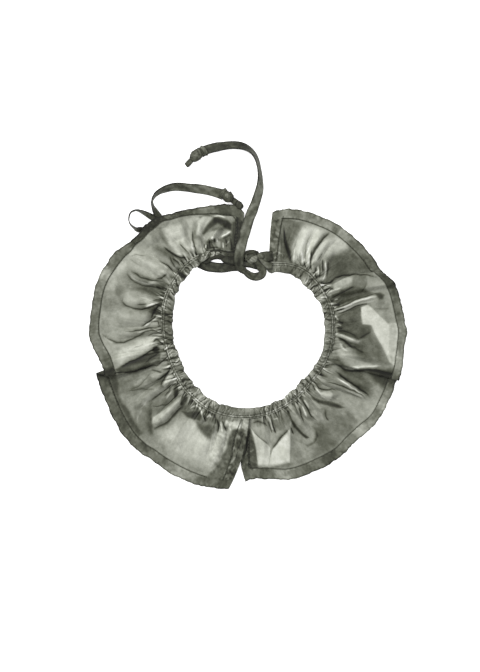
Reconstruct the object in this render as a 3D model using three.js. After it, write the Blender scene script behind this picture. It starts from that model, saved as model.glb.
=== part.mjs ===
// Detachable ruffled collar, laid flat with its outer side up and its back opening at +Y.
// Millimetres, +Z up. Angles are in degrees about the neck centre, turning left from +X,
// so the collar runs from its left back edge (about 100) round the front (270) to its right back edge (about 436).
import * as THREE from "three";

// ---- Named sizes ------------------------------------------------------------------------------------------------
const NECK = { x: 0.4, y: 7.1 }; // neck centre
const CLOTH = 1.1; // wall of a ruffle
const HEM = { cloth: 1.5, wide: 8.2 }; // a hem is turned twice, so it is thicker
const PITCH = 2.1; // from one layer of a pleat to the next
const GAP = 0.5; // between pieces at a seam
const CASING = { high: 3, seam: 1.3 }; // the casing reaches this far past its stitching
const GATHER = { count: 66, first: 112, last: 428, high: 1.0, scallop: 0.8, die: 13 };
const TAPE = { wide: 8.6, thick: 1.2 }; // the drawstring, a flat tube
const STRAND = { wide: 5.0, thick: 2.8 }; // the drawstring where it is bunched into the knot

// ---- Tables -----------------------------------------------------------------------------------------------------
const table = (names, ...rows) => rows.map((row) => Object.fromEntries(names.split(" ").map((n, i) => [n, row[i] ?? 0])));

// The neck casing: its inner edge, its line of stitching and how deep its gathers are.
const RING = table("at inner seam gathered",
  [100, 68.5, 71.6, 0.1], [105, 71.8, 74.9, 0.3], [112, 74.2, 78.4, 0.7], [120, 74.4, 80.6, 0.9], [130, 74.0, 81.0, 1],
  [140, 72.8, 80.0, 1], [150, 70.6, 78.6, 0.8], [160, 67.3, 76.6, 0.8], [170, 65.2, 73.8, 0.8], [180, 62.9, 71.4, 0.9],
  [190, 61.0, 69.9, 1], [200, 60.4, 69.1, 1], [210, 60.2, 68.6, 1], [225, 59.8, 68.6, 0.9], [240, 60.3, 68.8, 0.8],
  [252, 59.8, 68.4, 0.6], [258, 59.4, 68.0, 0.12], [270, 58.8, 67.0, 0.08], [276, 58.6, 66.5, 0.15], [283, 58.5, 65.9, 0.9],
  [295, 58.1, 65.0, 0.9], [310, 57.4, 64.5, 1], [320, 57.1, 64.3, 1], [330, 58.6, 65.5, 0.9], [340, 60.9, 67.6, 0.8],
  [350, 63.0, 69.7, 0.4], [362, 63.9, 71.4, 0.35], [375, 65.6, 73.6, 0.6], [385, 66.3, 74.7, 1], [395, 65.8, 74.9, 1],
  [405, 65.0, 75.3, 0.9], [413, 64.6, 74.2, 0.5], [420, 62.7, 71.8, 0.2], [428, 59.8, 67.9, 0.1], [435, 57.6, 65.4, 0.05],
  [442, 57.6, 63.4, 0.05]);

// The ruffles' ribs from the neck seam to the hem. Each row: the rib's angle at the hem, halfway and at the neck, how far
// the hem reaches, and how many layers the cloth is raised inside, at the hem and at the neck. Where the hem angle turns back the
// cloth lies over itself in a pleat.
const LEFT_RIBS = table("hem mid neck reach up upHem upNeck",
  [92.6, 96.0, 101.2, 105.6], [95.5, 98.3, 102.8, 111.6], [100, 102.2, 105.6, 114.4], [108, 108.8, 110.4, 116.3], [116, 116.2, 116.6, 120.2],
  [122, 122, 122, 123.0], [128, 128, 128, 127.4], [132, 132, 132, 128.6], [137, 137, 137, 126.9], [141, 141, 141, 128.4],
  [147, 147, 147, 133.2], [153, 153, 153, 134.8], [161, 161, 161, 135.8], [170, 169.6, 169.6, 134.5], [178, 177, 177, 134.0],
  [183, 181.4, 182, 131.4], [186, 184.0, 185, 128.6], [188.6, 186.6, 187.6, 126.4],
  // the pleat on the left: the back part lies over the front part
  [190.4, 188.9, 189, 125.4, 2, 2], [193, 193, 190.6, 124.8, 2, 2], [194.2, 195.2, 191.7, 124.8, 2, 2], [194.6, 195.7, 192.5, 124.9, 1.65, 1.5],
  [194.2, 195.2, 193.3, 125.3, 1.25, 1], [193.4, 192.7, 194.1, 128.6, 1, 1], [192.7, 190.2, 194.9, 131.0, 0.75, 1], [192.3, 189.7, 195.7, 131.5, 0.35, 0.5],
  [192.8, 190.4, 196.5, 131.6], [194.4, 193.8, 197.6, 131.7], [196.6, 197.0, 199, 131.6],
  [203, 203, 203.6, 131.3], [211, 211, 211, 132.2], [220, 220, 220, 133.5], [226, 226, 226, 132.6], [231, 231, 231, 131.0],
  [240, 240, 240, 131.2], [249, 250, 251, 131.0], [254.4, 256, 257, 130.1], [258, 261.4, 263.2, 129.2, 1, 0.3, 1], [260.4, 264.4, 267, 128.4, 1, 0.3, 1],
  [262.6, 267.2, 270.3, 127.7, 1, 0.3, 1]);
const RIGHT_RIBS = table("hem mid neck reach up upHem upNeck",
  [268.8, 265.4, 264.4, 121.0], [270.8, 268.2, 267.2, 118.9], [273, 271.2, 270, 118.5], [278, 277.4, 277, 119.3], [283, 283, 283, 122.2],
  [288, 288, 288, 124.4], [298, 298, 298, 125.3], [308, 308, 308, 126.2], [314, 314, 314, 125.1], [320, 320, 320, 126.8],
  [328, 328, 328, 129.2], [336, 336, 335, 129.1], [341, 341, 337.5, 129.5],
  // the right front pleat: the back part lies over the front part
  [345, 346, 338.8, 129.8], [347.6, 348.8, 339.8, 130], [348, 349.3, 340.6, 130, 0.35, 0.5], [347.6, 348.8, 341.4, 130.2, 0.75, 1],
  [346.2, 346.6, 342.2, 130.8, 1, 1], [344.8, 344.6, 343, 131.3, 1.25, 1], [344.4, 344.1, 343.8, 131.4, 1.65, 1.5], [344.8, 344.6, 344.6, 131.5, 2, 2],
  [347, 347.4, 346, 131.5, 2, 2], [349.4, 350.4, 347.8, 131.4, 2, 2], [352, 354, 350.6, 131.3],
  [357, 358, 356, 131.6], [363.2, 363.4, 362.6, 133.2], [365, 365.2, 365, 132.6], [372, 372, 372, 131.9], [377, 379, 380, 131.8],
  [379, 381.6, 385, 131.5],
  // the right back pleat: the front part lies over the back part
  [380.9, 384.2, 388, 131, 2, 2], [383.4, 388.4, 389.7, 130.2, 2, 2], [385.2, 390.6, 391, 129.4, 2, 2], [385.6, 391.1, 391.9, 129, 1.65, 1.5],
  [385.2, 390.6, 392.8, 128.4, 1.25, 1], [384, 388.4, 393.7, 127.6, 1, 1], [382.8, 386, 394.6, 127.2, 0.75, 1], [382.4, 385.5, 395.4, 127, 0.35, 0.5],
  [382.8, 386, 396.2, 126.9], [385, 389.4, 397.2, 126.4], [387.4, 393, 398.6, 125.4],
  [393, 397.4, 402, 124.5], [402, 403.8, 406.6, 123.0], [410, 410.6, 412, 121.8], [418, 417.6, 418, 119.4], [426, 425, 424, 116.8],
  [432.6, 431.2, 429, 113.7], [436, 434.8, 432.2, 111.3], [439.2, 438.0, 435, 107.6]);

// Folds raised from the flat cloth. Each row: the ridge's angle near the neck, halfway and at its far end, the radii it
// runs between, its half width and its height.
const LEFT_FOLDS = table("neck mid far from to wide high",
  [112, 107, 100, 86, 100, 5.5, 4.2], [118, 116, 109, 84, 110, 5.5, 3.0], [123.6, 123.4, 120, 82, 114, 5.5, 3.0], [129.4, 129.4, 129, 82, 116, 4.8, 3.4],
  [136.4, 136.4, 136.6, 82, 118, 5.0, 3.0], [143, 143, 144.5, 82, 124, 6.6, 3.4], [147.4, 150.6, 151.6, 80, 117, 4.0, 5.0], [159.4, 161.6, 161.4, 78, 113, 7.8, 4.6],
  [169, 170.4, 170, 82, 118, 9.0, 4.4], [176, 177, 179.6, 73, 116, 4.8, 3.4], [184, 185.6, 186, 73, 116, 7.6, 4.0], [202, 203, 204, 71, 117, 6.5, 2.8],
  [208, 209.4, 212, 70, 116, 4.4, 4.2], [215.6, 216.4, 219, 72, 106, 6.4, 3.4], [222, 222.4, 222.6, 72, 114, 4.6, 4.6], [231.4, 233, 234, 86, 118, 11, 2.6],
  [241, 240, 240, 71, 84, 4.2, 3.4], [247, 248, 246, 71, 116, 7.5, 3.0], [254.6, 255, 253, 71, 116, 4.6, 2.4]);
const RIGHT_FOLDS = table("neck mid far from to wide high",
  [275.4, 277.6, 277.4, 70, 108, 5.0, 2.8], [281, 280, 279, 70, 96, 4.4, 2.6], [288.6, 291, 287, 69, 108, 6.4, 3.0], [293.4, 295, 296, 68, 92, 3.6, 3.2],
  [301, 301.4, 302.4, 67, 100, 5.2, 4.4], [307, 307.6, 310, 67, 92, 4.0, 3.6], [313, 312, 312.6, 67, 96, 4.6, 4.4], [324.6, 323.6, 330, 68, 92, 5.4, 4.8],
  [329.6, 332.6, 333, 68, 117, 4.0, 5.0], [339, 338.4, 338, 74, 118, 5.0, 3.2], [352, 351, 348.6, 74, 117, 4.6, 2.4], [361.6, 359.6, 357.4, 74, 96, 4.0, 4.4],
  [370.6, 371, 372, 76, 96, 6.4, 2.2], [378.6, 379, 377.6, 76, 113, 4.2, 4.6], [401, 405, 407, 78, 108, 5.2, 3.2], [407, 410.4, 409, 77, 116, 4.4, 3.6],
  [411.4, 414.6, 415, 77, 117, 4.2, 3.8], [417, 420.4, 421, 76, 112, 5.6, 4.2], [427, 430, 432, 74, 104, 4.8, 2.2]);

// What the collar rides over: strips of drawstring that run beneath it. Ends of each strip, half width, height and ramp.
const LIFTS = table("x0 y0 x1 y1 half high ramp",
  [-36, 66.5, -82, 96, 5.8, 1.8, 10], [-83, 96, -94, 100, 6.6, 3.5, 9], [-64.5, 99.6, -76, 106.4, 7, 3.7, 9], [-74, 107, -78, 111, 6, 4.7, 8]);

// The two tails of the drawstring from the knot to their ends. Lean is how far the tape stands up on its edge.
const FRONT_TAIL = table("x y z lean",
  [9.4, 68.0, 3.6, 30], [11.4, 63.6, 3.4, 48], [9.6, 59.8, 2.4, 30], [4.4, 58.6, 1.2, 6], [-1.7, 61.0, 1.9, 0], [-6.2, 66.0, 2.8, 0],
  [-7.6, 72.0, 4.8, 0], [-7.0, 78.0, 4.9, 0], [-5.2, 85.6, 3.4, 0], [-3.1, 93.4, 3.1, 0], [-1.2, 100.4, 3.0, 0], [1.5, 108.6, 2.4, 2],
  [5.0, 117.2, 1.3, 10], [7.6, 124.7, 1.8, 24], [9.5, 131.5, 3.0, 42], [10.2, 137.6, 4.1, 62], [10.1, 144.1, 4.5, 76], [9.2, 150.2, 4.6, 86],
  [7.6, 156.4, 4.5, 78], [4.8, 161.8, 4.2, 64], [0.2, 166.0, 3.6, 48], [-5.9, 168.5, 3.1, 40], [-13.4, 169.1, 3.0, 38], [-21.8, 168.2, 2.8, 34],
  [-29.4, 166.8, 2.6, 26], [-35.8, 164.6, 2.4, 16]);
const BACK_TAIL = table("x y z lean",
  [-3.6, 67.4, 0.7, 0], [-13.6, 67.2, 0.7, 0], [-21.8, 66.6, 0.7, 0], [-30.2, 67.0, 0.7, 0], [-38, 69.0, 0.7, 0],
  [-45, 73.1, 0.7, 0], [-62, 84.0, 0.7, 0], [-78, 94.4, 0.7, 0], [-85, 97.4, 0.7, 0], [-89.6, 98.0, 1.1, -12],
  [-94.6, 99.0, 4.3, -72], [-98.8, 102.6, 4.5, -86], [-99.9, 107.2, 4.5, -90], [-98.4, 112.2, 4.5, -93], [-94.0, 114.2, 4.5, -98],
  [-89.8, 113.4, 4.2, -116], [-86.4, 111.9, 2.9, -144], [-83, 110.0, 1.5, -167], [-79.4, 108.0, 0.8, -178], [-75, 105.4, 0.7, -180],
  [-69.4, 102.4, 0.65, -180], [-67.0, 101.15, 0.7, -180], [-66.0, 100.6, 1.6, -180], [-67.0, 101.15, 2.5, -180], [-69.6, 102.8, 2.6, -180],
  [-73.4, 107.0, 2.5, -180], [-76.9, 111.9, 3.1, -202], [-79.4, 116.8, 4.9, -244], [-80.3, 122.4, 4.7, -262], [-76.6, 128.2, 4.4, -252],
  [-69.7, 131.9, 4.0, -236], [-61.3, 134.0, 3.6, -228], [-48.7, 133.1, 3.4, -224], [-36.1, 131.5, 3.2, -220],
  [-24.2, 128.2, 2.6, -204]);
// The bunched strands between the casing's ends and the knot.
const LEFT_EXIT = table("x y z lean", [-13.6, 75.4, 1.7, 0], [-8.4, 75.3, 1.7, 0], [-3.8, 75.0, 2.2, 0]);
const RIGHT_EXIT = table("x y z lean", [11.4, 75.8, 2.6, 0], [13.6, 75.7, 2.0, 0], [15.8, 75.6, 1.7, 0]);
// Knots: centre, size, how they are turned, and the stub left past an end knot.
const KNOTS = table("x y long wide high turn stub",
  [3.9, 74.0, 13.6, 10.6, 7.6, 20, 0], [-40.7, 162.0, 10.4, 8.6, 6.2, 218, 7.4], [-19.1, 125.9, 10.2, 8.6, 6.2, -26, 9]);

// ---- Functions --------------------------------------------------------------------------------------------------
const rad = THREE.MathUtils.degToRad;
const smooth = (t) => THREE.MathUtils.smoothstep(t, 0, 1);

// A smooth curve through a table's rows, never past the rows on either side.
function along(rows, key, value, at) {
  const last = rows.length - 1;
  let k = 0;
  while (k < last - 1 && rows[k + 1][key] < at) k++;
  const slope = (i) => (rows[i + 1][value] - rows[i][value]) / (rows[i + 1][key] - rows[i][key]);
  const tangent = (i) => {
    if (i === 0 || i === last) return 0;
    const a = slope(i - 1), b = slope(i);
    return a * b > 0 ? (2 * a * b) / (a + b) : 0;
  };
  const width = rows[k + 1][key] - rows[k][key];
  const t = THREE.MathUtils.clamp((at - rows[k][key]) / width, 0, 1);
  const u = 1 - t;
  return rows[k][value] * u * u * (1 + 2 * t) + rows[k + 1][value] * t * t * (3 - 2 * t) + width * t * u * (u * tangent(k) - t * tangent(k + 1));
}
const through = (a, b, c, v) => a * (1 - v) * (1 - 2 * v) + 4 * b * v * (1 - v) + c * v * (2 * v - 1);
const outerEdge = (at) => along(RING, "at", "seam", at) + CASING.seam;

// Gathers stand at uneven steps round the neck; the wave is 1 on a gather and 0 between two.
const gatherPhase = (at) => {
  const n = ((at - GATHER.first) / (GATHER.last - GATHER.first)) * GATHER.count;
  return n + 0.22 * Math.sin(n * 1.7) + 0.16 * Math.sin(n * 0.61 + 2);
};
const gatherWave = (at) => 0.5 - 0.5 * Math.cos(2 * Math.PI * gatherPhase(at));

// The angle of each half gather, so that a section stands on every ridge and in every dip.
function gatherStops(from, to) {
  const stops = [];
  let last = Math.floor(2 * gatherPhase(from));
  for (let at = from; at < to; at += 0.05)
    if (Math.floor(2 * gatherPhase(at)) > last) {
      last = Math.floor(2 * gatherPhase(at));
      if (at > from + 1.2 && at < to - 1.2) stops.push(at);
    }
  return stops;
}

function liftAt(x, y) {
  let high = 0;
  for (const l of LIFTS) {
    const dx = l.x1 - l.x0, dy = l.y1 - l.y0;
    const t = THREE.MathUtils.clamp(((x - l.x0) * dx + (y - l.y0) * dy) / (dx * dx + dy * dy), 0, 1);
    const d = Math.hypot(x - l.x0 - t * dx, y - l.y0 - t * dy);
    high = Math.max(high, l.high * smooth(1 - (d - l.half) / l.ramp));
  }
  return high;
}

function foldsAt(folds, at, r) {
  let high = 0;
  for (const f of folds) {
    const s = (r - f.from) / (f.to - f.from);
    if (s <= 0 || s >= 1) continue;
    const off = (rad(at - through(f.neck, f.mid, f.far, s)) * r) / f.wide;
    if (Math.abs(off) < 1) high += f.high * (1 - off * off) ** 2 * smooth(s / 0.2) * smooth((1 - s) / 0.45);
  }
  return high;
}

// A closed wall from a grid of middle points, thick[j] through row j.
function wall(grid, thick) {
  const rows = grid.length, cols = grid[0].length;
  const step = (a, b) => new THREE.Vector3().subVectors(b, a).normalize();
  const tangent = (a, p, b) => new THREE.Vector3().add(p === a ? step(p, b) : step(a, p)).add(p === b ? step(a, p) : step(p, b));
  const points = [], faces = [];
  for (const side of [1, -1])
    grid.forEach((row, j) => row.forEach((p, i) => {
      const u = tangent(row[Math.max(i - 1, 0)], p, row[Math.min(i + 1, cols - 1)]);
      const v = tangent(grid[Math.max(j - 1, 0)][i], p, grid[Math.min(j + 1, rows - 1)][i]);
      if (j === 0) v.z = 0; // the edge at the seam stays square to it
      const n = v.cross(u).normalize();
      points.push(p.clone().addScaledVector(n, (side * thick[j]) / 2));
    }));
  const id = (side, j, i) => side * rows * cols + j * cols + i;
  const quad = (a, b, c, d) => faces.push(a, b, c, a, c, d);
  for (let j = 0; j < rows - 1; j++)
    for (let i = 0; i < cols - 1; i++) {
      quad(id(0, j, i), id(0, j, i + 1), id(0, j + 1, i + 1), id(0, j + 1, i));
      quad(id(1, j, i), id(1, j + 1, i), id(1, j + 1, i + 1), id(1, j, i + 1));
    }
  for (let j = 0; j < rows - 1; j++) {
    quad(id(0, j, 0), id(0, j + 1, 0), id(1, j + 1, 0), id(1, j, 0));
    quad(id(0, j + 1, cols - 1), id(0, j, cols - 1), id(1, j, cols - 1), id(1, j + 1, cols - 1));
  }
  for (let i = 0; i < cols - 1; i++) {
    quad(id(0, 0, i + 1), id(0, 0, i), id(1, 0, i), id(1, 0, i + 1));
    quad(id(0, rows - 1, i), id(0, rows - 1, i + 1), id(1, rows - 1, i + 1), id(1, rows - 1, i));
  }
  return body(points, faces);
}

// A closed tube through rings of points, capped at both ends.
function tube(rings) {
  const n = rings[0].length, points = rings.flat(), faces = [];
  for (let k = 0; k < rings.length - 1; k++)
    for (let i = 0; i < n; i++) {
      const a = k * n + i, b = k * n + ((i + 1) % n);
      faces.push(a, b, b + n, a, b + n, a + n);
    }
  for (const [k, turn] of [[0, false], [rings.length - 1, true]])
    for (let i = 1; i < n - 1; i++) faces.push(k * n, k * n + (turn ? i : i + 1), k * n + (turn ? i + 1 : i));
  return body(points, faces);
}

function body(points, faces) {
  const g = new THREE.BufferGeometry().setFromPoints(points);
  let volume = 0;
  for (let k = 0; k < faces.length; k += 3) {
    const [a, b, c] = [0, 1, 2].map((m) => points[faces[k + m]]);
    volume += a.dot(new THREE.Vector3().crossVectors(b, c)) / 6;
  }
  if (volume < 0) for (let k = 0; k < faces.length; k += 3) [faces[k + 1], faces[k + 2]] = [faces[k + 2], faces[k + 1]];
  g.setIndex(faces);
  return g;
}

// ---- Ruffles ----------------------------------------------------------------------------------------------------
const DOWN = [0, 0.06, 0.13, 0.23, 0.36, 0.5, 0.65, 0.82]; // rows from the neck towards the hem's stitching

// The ribs of the table with more between them: evenly on the flat, and at most two where the cloth changes layer.
function ribsOf(rows, step) {
  const placed = rows.map((row) => ({ ...row, upNeck: row.upNeck || 0.45 * row.up, s: 0 }));
  placed.forEach((row, i) => { if (i) row.s = placed[i - 1].s + Math.abs(row.hem - placed[i - 1].hem) + 0.4; });
  const ribs = [];
  placed.forEach((row, i) => {
    ribs.push(row);
    const next = placed[i + 1];
    if (!next) return;
    const flat = row.up === 0 && next.up === 0;
    const widest = row.up === next.up ? Math.abs(next.hem - row.hem) : Math.max(Math.abs(next.hem - row.hem), Math.abs(next.neck - row.neck));
    const fill = Math.max(0, Math.min(Math.round(widest / step) - 1, flat ? Infinity : 2));
    for (let k = 1; k <= fill; k++) {
      const t = k / (fill + 1);
      const rib = Object.fromEntries(Object.keys(row).map((key) => [key, THREE.MathUtils.lerp(row[key], next[key], t)]));
      ribs.push({ ...rib, reach: along(placed, "s", "reach", rib.s) });
    }
  });
  return ribs;
}

function ruffle(rows, folds, step) {
  const ribs = ribsOf(rows, step);
  const grid = [], thick = [];
  const line = (v, band, cloth) => {
    thick.push(cloth);
    grid.push(ribs.map((rib) => {
      const start = outerEdge(rib.neck) + GAP;
      const depth = rib.reach - start;
      const share = band === null ? v * (1 - HEM.wide / depth) : 1 - band / depth;
      const r = start + depth * share;
      const at = through(rib.neck, rib.mid, rib.hem, share);
      const levels = THREE.MathUtils.lerp(rib.up, rib.upHem, smooth((share - 0.55) / 0.4));
      const x = NECK.x + r * Math.cos(rad(at)), y = NECK.y + r * Math.sin(rad(at));
      const small = GATHER.high * along(RING, "at", "gathered", rib.neck) * gatherWave(rib.neck) * smooth(1 - (r - start) / GATHER.die);
      const z = cloth / 2 + PITCH * THREE.MathUtils.lerp(rib.upNeck, levels, smooth(share / 0.12)) + small + foldsAt(folds, at, r) + liftAt(x, y);
      return new THREE.Vector3(x, y, z);
    }));
  };
  DOWN.forEach((v) => line(v / DOWN.at(-1), null, CLOTH));
  line(0, HEM.wide - 0.7, HEM.cloth);
  line(0, 0, HEM.cloth);
  return wall(grid, thick);
}

// ---- Casing -----------------------------------------------------------------------------------------------------
// Its section, from the inner edge to the seam, as shares of width and height. The last column is how much of the
// gathers' depth each point takes up.
const CASING_SECTION = table("across up takes",
  [0, 0.42, 1], [0.13, 0, 0.6], [0.92, 0, 0], [1, 0.18, 0], [1, 0.66, 0], [0.86, 0.8, 0.3], [0.68, 0.9, 1], [0.4, 1, 1], [0.12, 0.82, 1]);

function casing() {
  const ends = { left: [103.4, 101], right: [434.3, 441.6] }; // angle at the inner edge and at the seam
  const inside = gatherStops(GATHER.first - 4, GATHER.last).filter((at) => !(at > 256 && at < 278) && at < 418);
  const plain = [104, 107, 110, 257, 261, 265, 269, 273, 277, 419, 422, 425, 428, 431, 433.5, 436];
  const stops = [101, ...inside, ...plain, 438].sort((a, b) => a - b);
  const rings = stops.map((at, k) => {
    const wave = k === 0 || k === stops.length - 1 ? 0.5 : gatherWave(at);
    const depth = along(RING, "at", "gathered", at);
    const inner = along(RING, "at", "inner", at), outer = outerEdge(at);
    const mid = (inner + outer) / 2;
    const low = liftAt(NECK.x + mid * Math.cos(rad(at)), NECK.y + mid * Math.sin(rad(at)));
    // the ends are cut on the slant
    const slantLeft = 7 * (1 - smooth((at - 101) / 10)), slantRight = -5.2 * smooth((at - 426) / 12);
    return CASING_SECTION.map((c) => {
      const r = inner + (outer - inner) * c.across + (c.across < 0.5 ? 1 - c.across * 2 : 0) * (0.5 - wave) * 2 * GATHER.scallop * depth;
      const z = low + CASING.high * c.up * (1 + 0.2 * (wave - 0.6) * depth * c.takes);
      const turned = at + (slantLeft + slantRight) * (1 - c.across) + (at > 434 ? 3.4 * c.across : 0);
      return new THREE.Vector3(NECK.x + r * Math.cos(rad(turned)), NECK.y + r * Math.sin(rad(turned)), Math.max(z, low));
    });
  });
  return tube(rings);
}

// ---- Drawstring -------------------------------------------------------------------------------------------------
// A flat tube through a path's rows, its width square to the path and tipped up by each row's lean.
function tape(path, size, fine) {
  const curve = new THREE.CatmullRomCurve3(path.map((p) => new THREE.Vector3(p.x, p.y, p.z)), false, "centripetal");
  const count = Math.round((path.length - 1) * fine);
  let width = null;
  const rings = [];
  for (let k = 0; k <= count; k++) {
    const t = k / count, along0 = Math.min(Math.floor(t * (path.length - 1)), path.length - 2), part = t * (path.length - 1) - along0;
    const p = curve.getPoint(t), tangent = curve.getTangent(t);
    const flat = new THREE.Vector3(-tangent.y, tangent.x, 0);
    if (flat.length() > 0.25) {
      flat.normalize();
      if (width && flat.dot(width) < 0) flat.negate();
      width = flat;
    }
    const lean = rad(THREE.MathUtils.lerp(path[along0].lean, path[along0 + 1].lean, part));
    const across = width.clone().multiplyScalar(Math.cos(lean)).add(new THREE.Vector3(0, 0, Math.sin(lean)));
    across.addScaledVector(tangent, -across.dot(tangent)).normalize();
    const up = new THREE.Vector3().crossVectors(tangent, across).normalize();
    const w = size.wide / 2, h = size.thick / 2;
    rings.push([[w, 0], [w * 0.86, h], [0, h], [-w * 0.86, h], [-w, 0], [-w * 0.86, -h], [0, -h], [w * 0.86, -h]].map(([a, b]) =>
      p.clone().addScaledVector(across, a).addScaledVector(up, b)));
  }
  for (const ring of rings) for (const q of ring) q.z = Math.max(q.z, 0.02);
  return tube(rings);
}

// A knot: turns of tape pulled into a lump, flat underneath, with a stub past it where it ends a tail.
function knot(k) {
  const rings = [], turns = 12, sides = 14;
  for (let i = 0; i <= turns; i++) {
    const a = Math.PI * (0.06 + 0.88 * (i / turns));
    rings.push([...Array(sides).keys()].map((s) => {
      const b = (2 * Math.PI * s) / sides;
      const ridge = 1 + 0.11 * Math.cos(3 * a * 2 + 2 * b) + 0.05 * Math.cos(5 * b + a);
      return [(-Math.cos(a) * k.long) / 2, (Math.sin(a) * Math.cos(b) * k.wide * ridge) / 2, (Math.sin(a) * Math.sin(b) * k.high * ridge) / 2 + k.high * 0.47];
    }));
  }
  if (k.stub) {
    const end = rings.at(-1).map(([, y, z]) => [y, z - k.high * 0.47]);
    for (const [far, size, low] of [[0.25, 0.62, 0.8], [0.6, 0.5, 1.4], [1, 0.42, 1.6]])
      rings.push(end.map(([y, z]) => [k.long / 2 + k.stub * far, y * size * 2, z * size * 1.6 + k.high * 0.47 - low * 0.6]));
  }
  const c = Math.cos(rad(k.turn)), s = Math.sin(rad(k.turn));
  return tube(rings.map((ring) => ring.map(([x, y, z]) => new THREE.Vector3(k.x + c * x - s * y, k.y + s * x + c * y, Math.max(z, 0.02)))));
}

// ---- The part ---------------------------------------------------------------------------------------------------
const cloth = new THREE.MeshStandardMaterial({ color: 0x8a8f85, roughness: 0.7 });
const part = new THREE.Group();
const add = (name, geometry) => {
  const mesh = new THREE.Mesh(geometry, cloth);
  mesh.name = name;
  part.add(mesh);
};

add("neck_casing", casing());
add("ruffle_left", ruffle(LEFT_RIBS, LEFT_FOLDS, 1.6));
add("ruffle_right", ruffle(RIGHT_RIBS, RIGHT_FOLDS, 1.6));
add("drawstring_knot", knot(KNOTS[0]));
add("drawstring_exit_left", tape(LEFT_EXIT, STRAND, 2));
add("drawstring_exit_right", tape(RIGHT_EXIT, STRAND, 2));
add("front_tail", tape(FRONT_TAIL, TAPE, 1.2));
add("front_tail_knot", knot(KNOTS[1]));
add("back_tail", tape(BACK_TAIL, TAPE, 2));
add("back_tail_knot", knot(KNOTS[2]));

export default part;
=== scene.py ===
import math
import bpy
import numpy as np
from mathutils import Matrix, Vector
from mathutils.bvhtree import BVHTree


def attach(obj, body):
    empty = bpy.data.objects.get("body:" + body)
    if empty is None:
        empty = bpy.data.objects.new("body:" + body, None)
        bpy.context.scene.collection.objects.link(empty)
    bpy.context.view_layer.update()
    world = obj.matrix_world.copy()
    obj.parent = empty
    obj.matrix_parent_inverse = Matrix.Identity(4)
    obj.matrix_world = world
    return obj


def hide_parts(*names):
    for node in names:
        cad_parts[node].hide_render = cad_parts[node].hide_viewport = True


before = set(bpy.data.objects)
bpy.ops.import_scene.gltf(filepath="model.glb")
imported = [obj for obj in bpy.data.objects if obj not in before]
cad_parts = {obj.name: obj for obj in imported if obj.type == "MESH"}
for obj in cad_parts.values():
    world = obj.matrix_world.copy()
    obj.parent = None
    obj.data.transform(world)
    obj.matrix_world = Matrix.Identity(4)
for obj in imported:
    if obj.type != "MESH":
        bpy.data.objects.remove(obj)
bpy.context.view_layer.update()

from types import SimpleNamespace

# The collar lies flat, outer side up, with its back opening at +Y. Lengths below are in millimetres and are turned
# into metres where a mesh is made. Places on the collar are given as an angle in degrees about the neck centre,
# turning left from +X, and a distance from that centre. The right ruffle's angles go on past 360.
MM = .001
NECK = (.4, 7.1)
PITCH = 2.1  # from one layer of a pleat to the next
CASING = {"high": 3.0, "seam": 1.3, "rows": (.25, 2.1), "first": 101.5, "last": 438.01, "step": .4}
GATHERS = {"count": 66, "first": 112, "last": 428, "high": 1.1, "reach": 17}
CLOTH = {"thick": .55, "hem": 1.35, "lies": .62, "hem lies": .25, "lowest": .55, "clear": .05}
LOWEST = {"wall": .02, "tube": .03}  # nothing goes beneath this
UNDER_CASING = 1.1  # how far a ruffle's neck edge goes in under the casing
TAPE = {"wide": 8.6, "thick": 1.2}
STRAND = {"wide": 9.0, "thick": 2.4}
# How finely the pieces are divided.
RIB_STEP = .36  # between two columns of a ruffle
CLOTH_ROWS = 60
STITCH_ROWS = np.array([1.1, .65, .25, -.15, -.6, -1.2])  # beside the line of stitching, as distances from it
HEM_ROWS = np.array([.76, .6, .44, .28, .15, .06, 0.0])  # as shares of the hem's width from the outer edge
STITCHED_ROW = CLOTH_ROWS + 3
ROUND_TAPE = 22
LATTICE_CELLS = 64


def table(names, *rows):
    """A column for each name, with 0 where a row is too short."""
    names = names.split()
    return {n: np.array([row[i] if i < len(row) else 0.0 for row in rows], float) for i, n in enumerate(names)}


def add_object(name, data):
    obj = bpy.data.objects.new(name, data)
    bpy.context.collection.objects.link(obj)
    return obj


# ---- Camera: straight above, as far away as shows 564.5 mm from top to bottom ----
LENS, SENSOR, SEEN = 100, 36, 564.5
camera_data = bpy.data.cameras.new("camera")
camera_data.lens = LENS
camera_data.sensor_fit = "VERTICAL"
camera_data.sensor_height = SENSOR
camera_data.clip_end = 20
camera = add_object("camera", camera_data)
camera.location = (-6.7 * MM, 8.8 * MM, SEEN * MM * LENS / SENSOR + 2 * MM)
bpy.context.scene.camera = camera

# ---- Routes of the drawstring ----
# Lean is how far the width is tipped up, in degrees, and less is the share by which it is narrowed.
FRONT_TIE = table("x y z lean less",
    [5.4, 71, 4.8, 20], [9, 67.6, 4.6, 36, .1], [12.2, 64, 3.6, 46], [11.4, 60.4, 2.6, 40],
    [7.2, 58.6, 1.6, 22, .1], [2.4, 59.4, 1.6, 32, .1], [-2.4, 62.9, 2.4, 58], [-6, 66.6, 3.2, 14],
    [-7.5, 71.6, 4.7, 0], [-7, 78, 4.9, 0], [-5.2, 85.6, 3.4, 0], [-3.1, 93.4, 3.1, 0], [-1.2, 100.4, 3, 0],
    [1.5, 108.6, 2.4, 2], [5, 117.2, 1.3, 10], [7.6, 124.7, 1.8, 24], [9.5, 131.5, 3, 40], [10.2, 137.6, 4.1, 56],
    [10.1, 144.1, 4.5, 64], [9.2, 150.2, 4.5, 68], [7.6, 156.4, 4.4, 66], [4.8, 161.8, 4.2, 60],
    [.2, 166, 3.6, 48], [-5.9, 168.5, 3.1, 36], [-13.4, 169.1, 3, 30], [-21.8, 168.2, 2.8, 26],
    [-29.4, 166.8, 2.6, 18], [-35.4, 164.9, 2.6, 10], [-39.6, 162.6, 3, 6])
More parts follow.
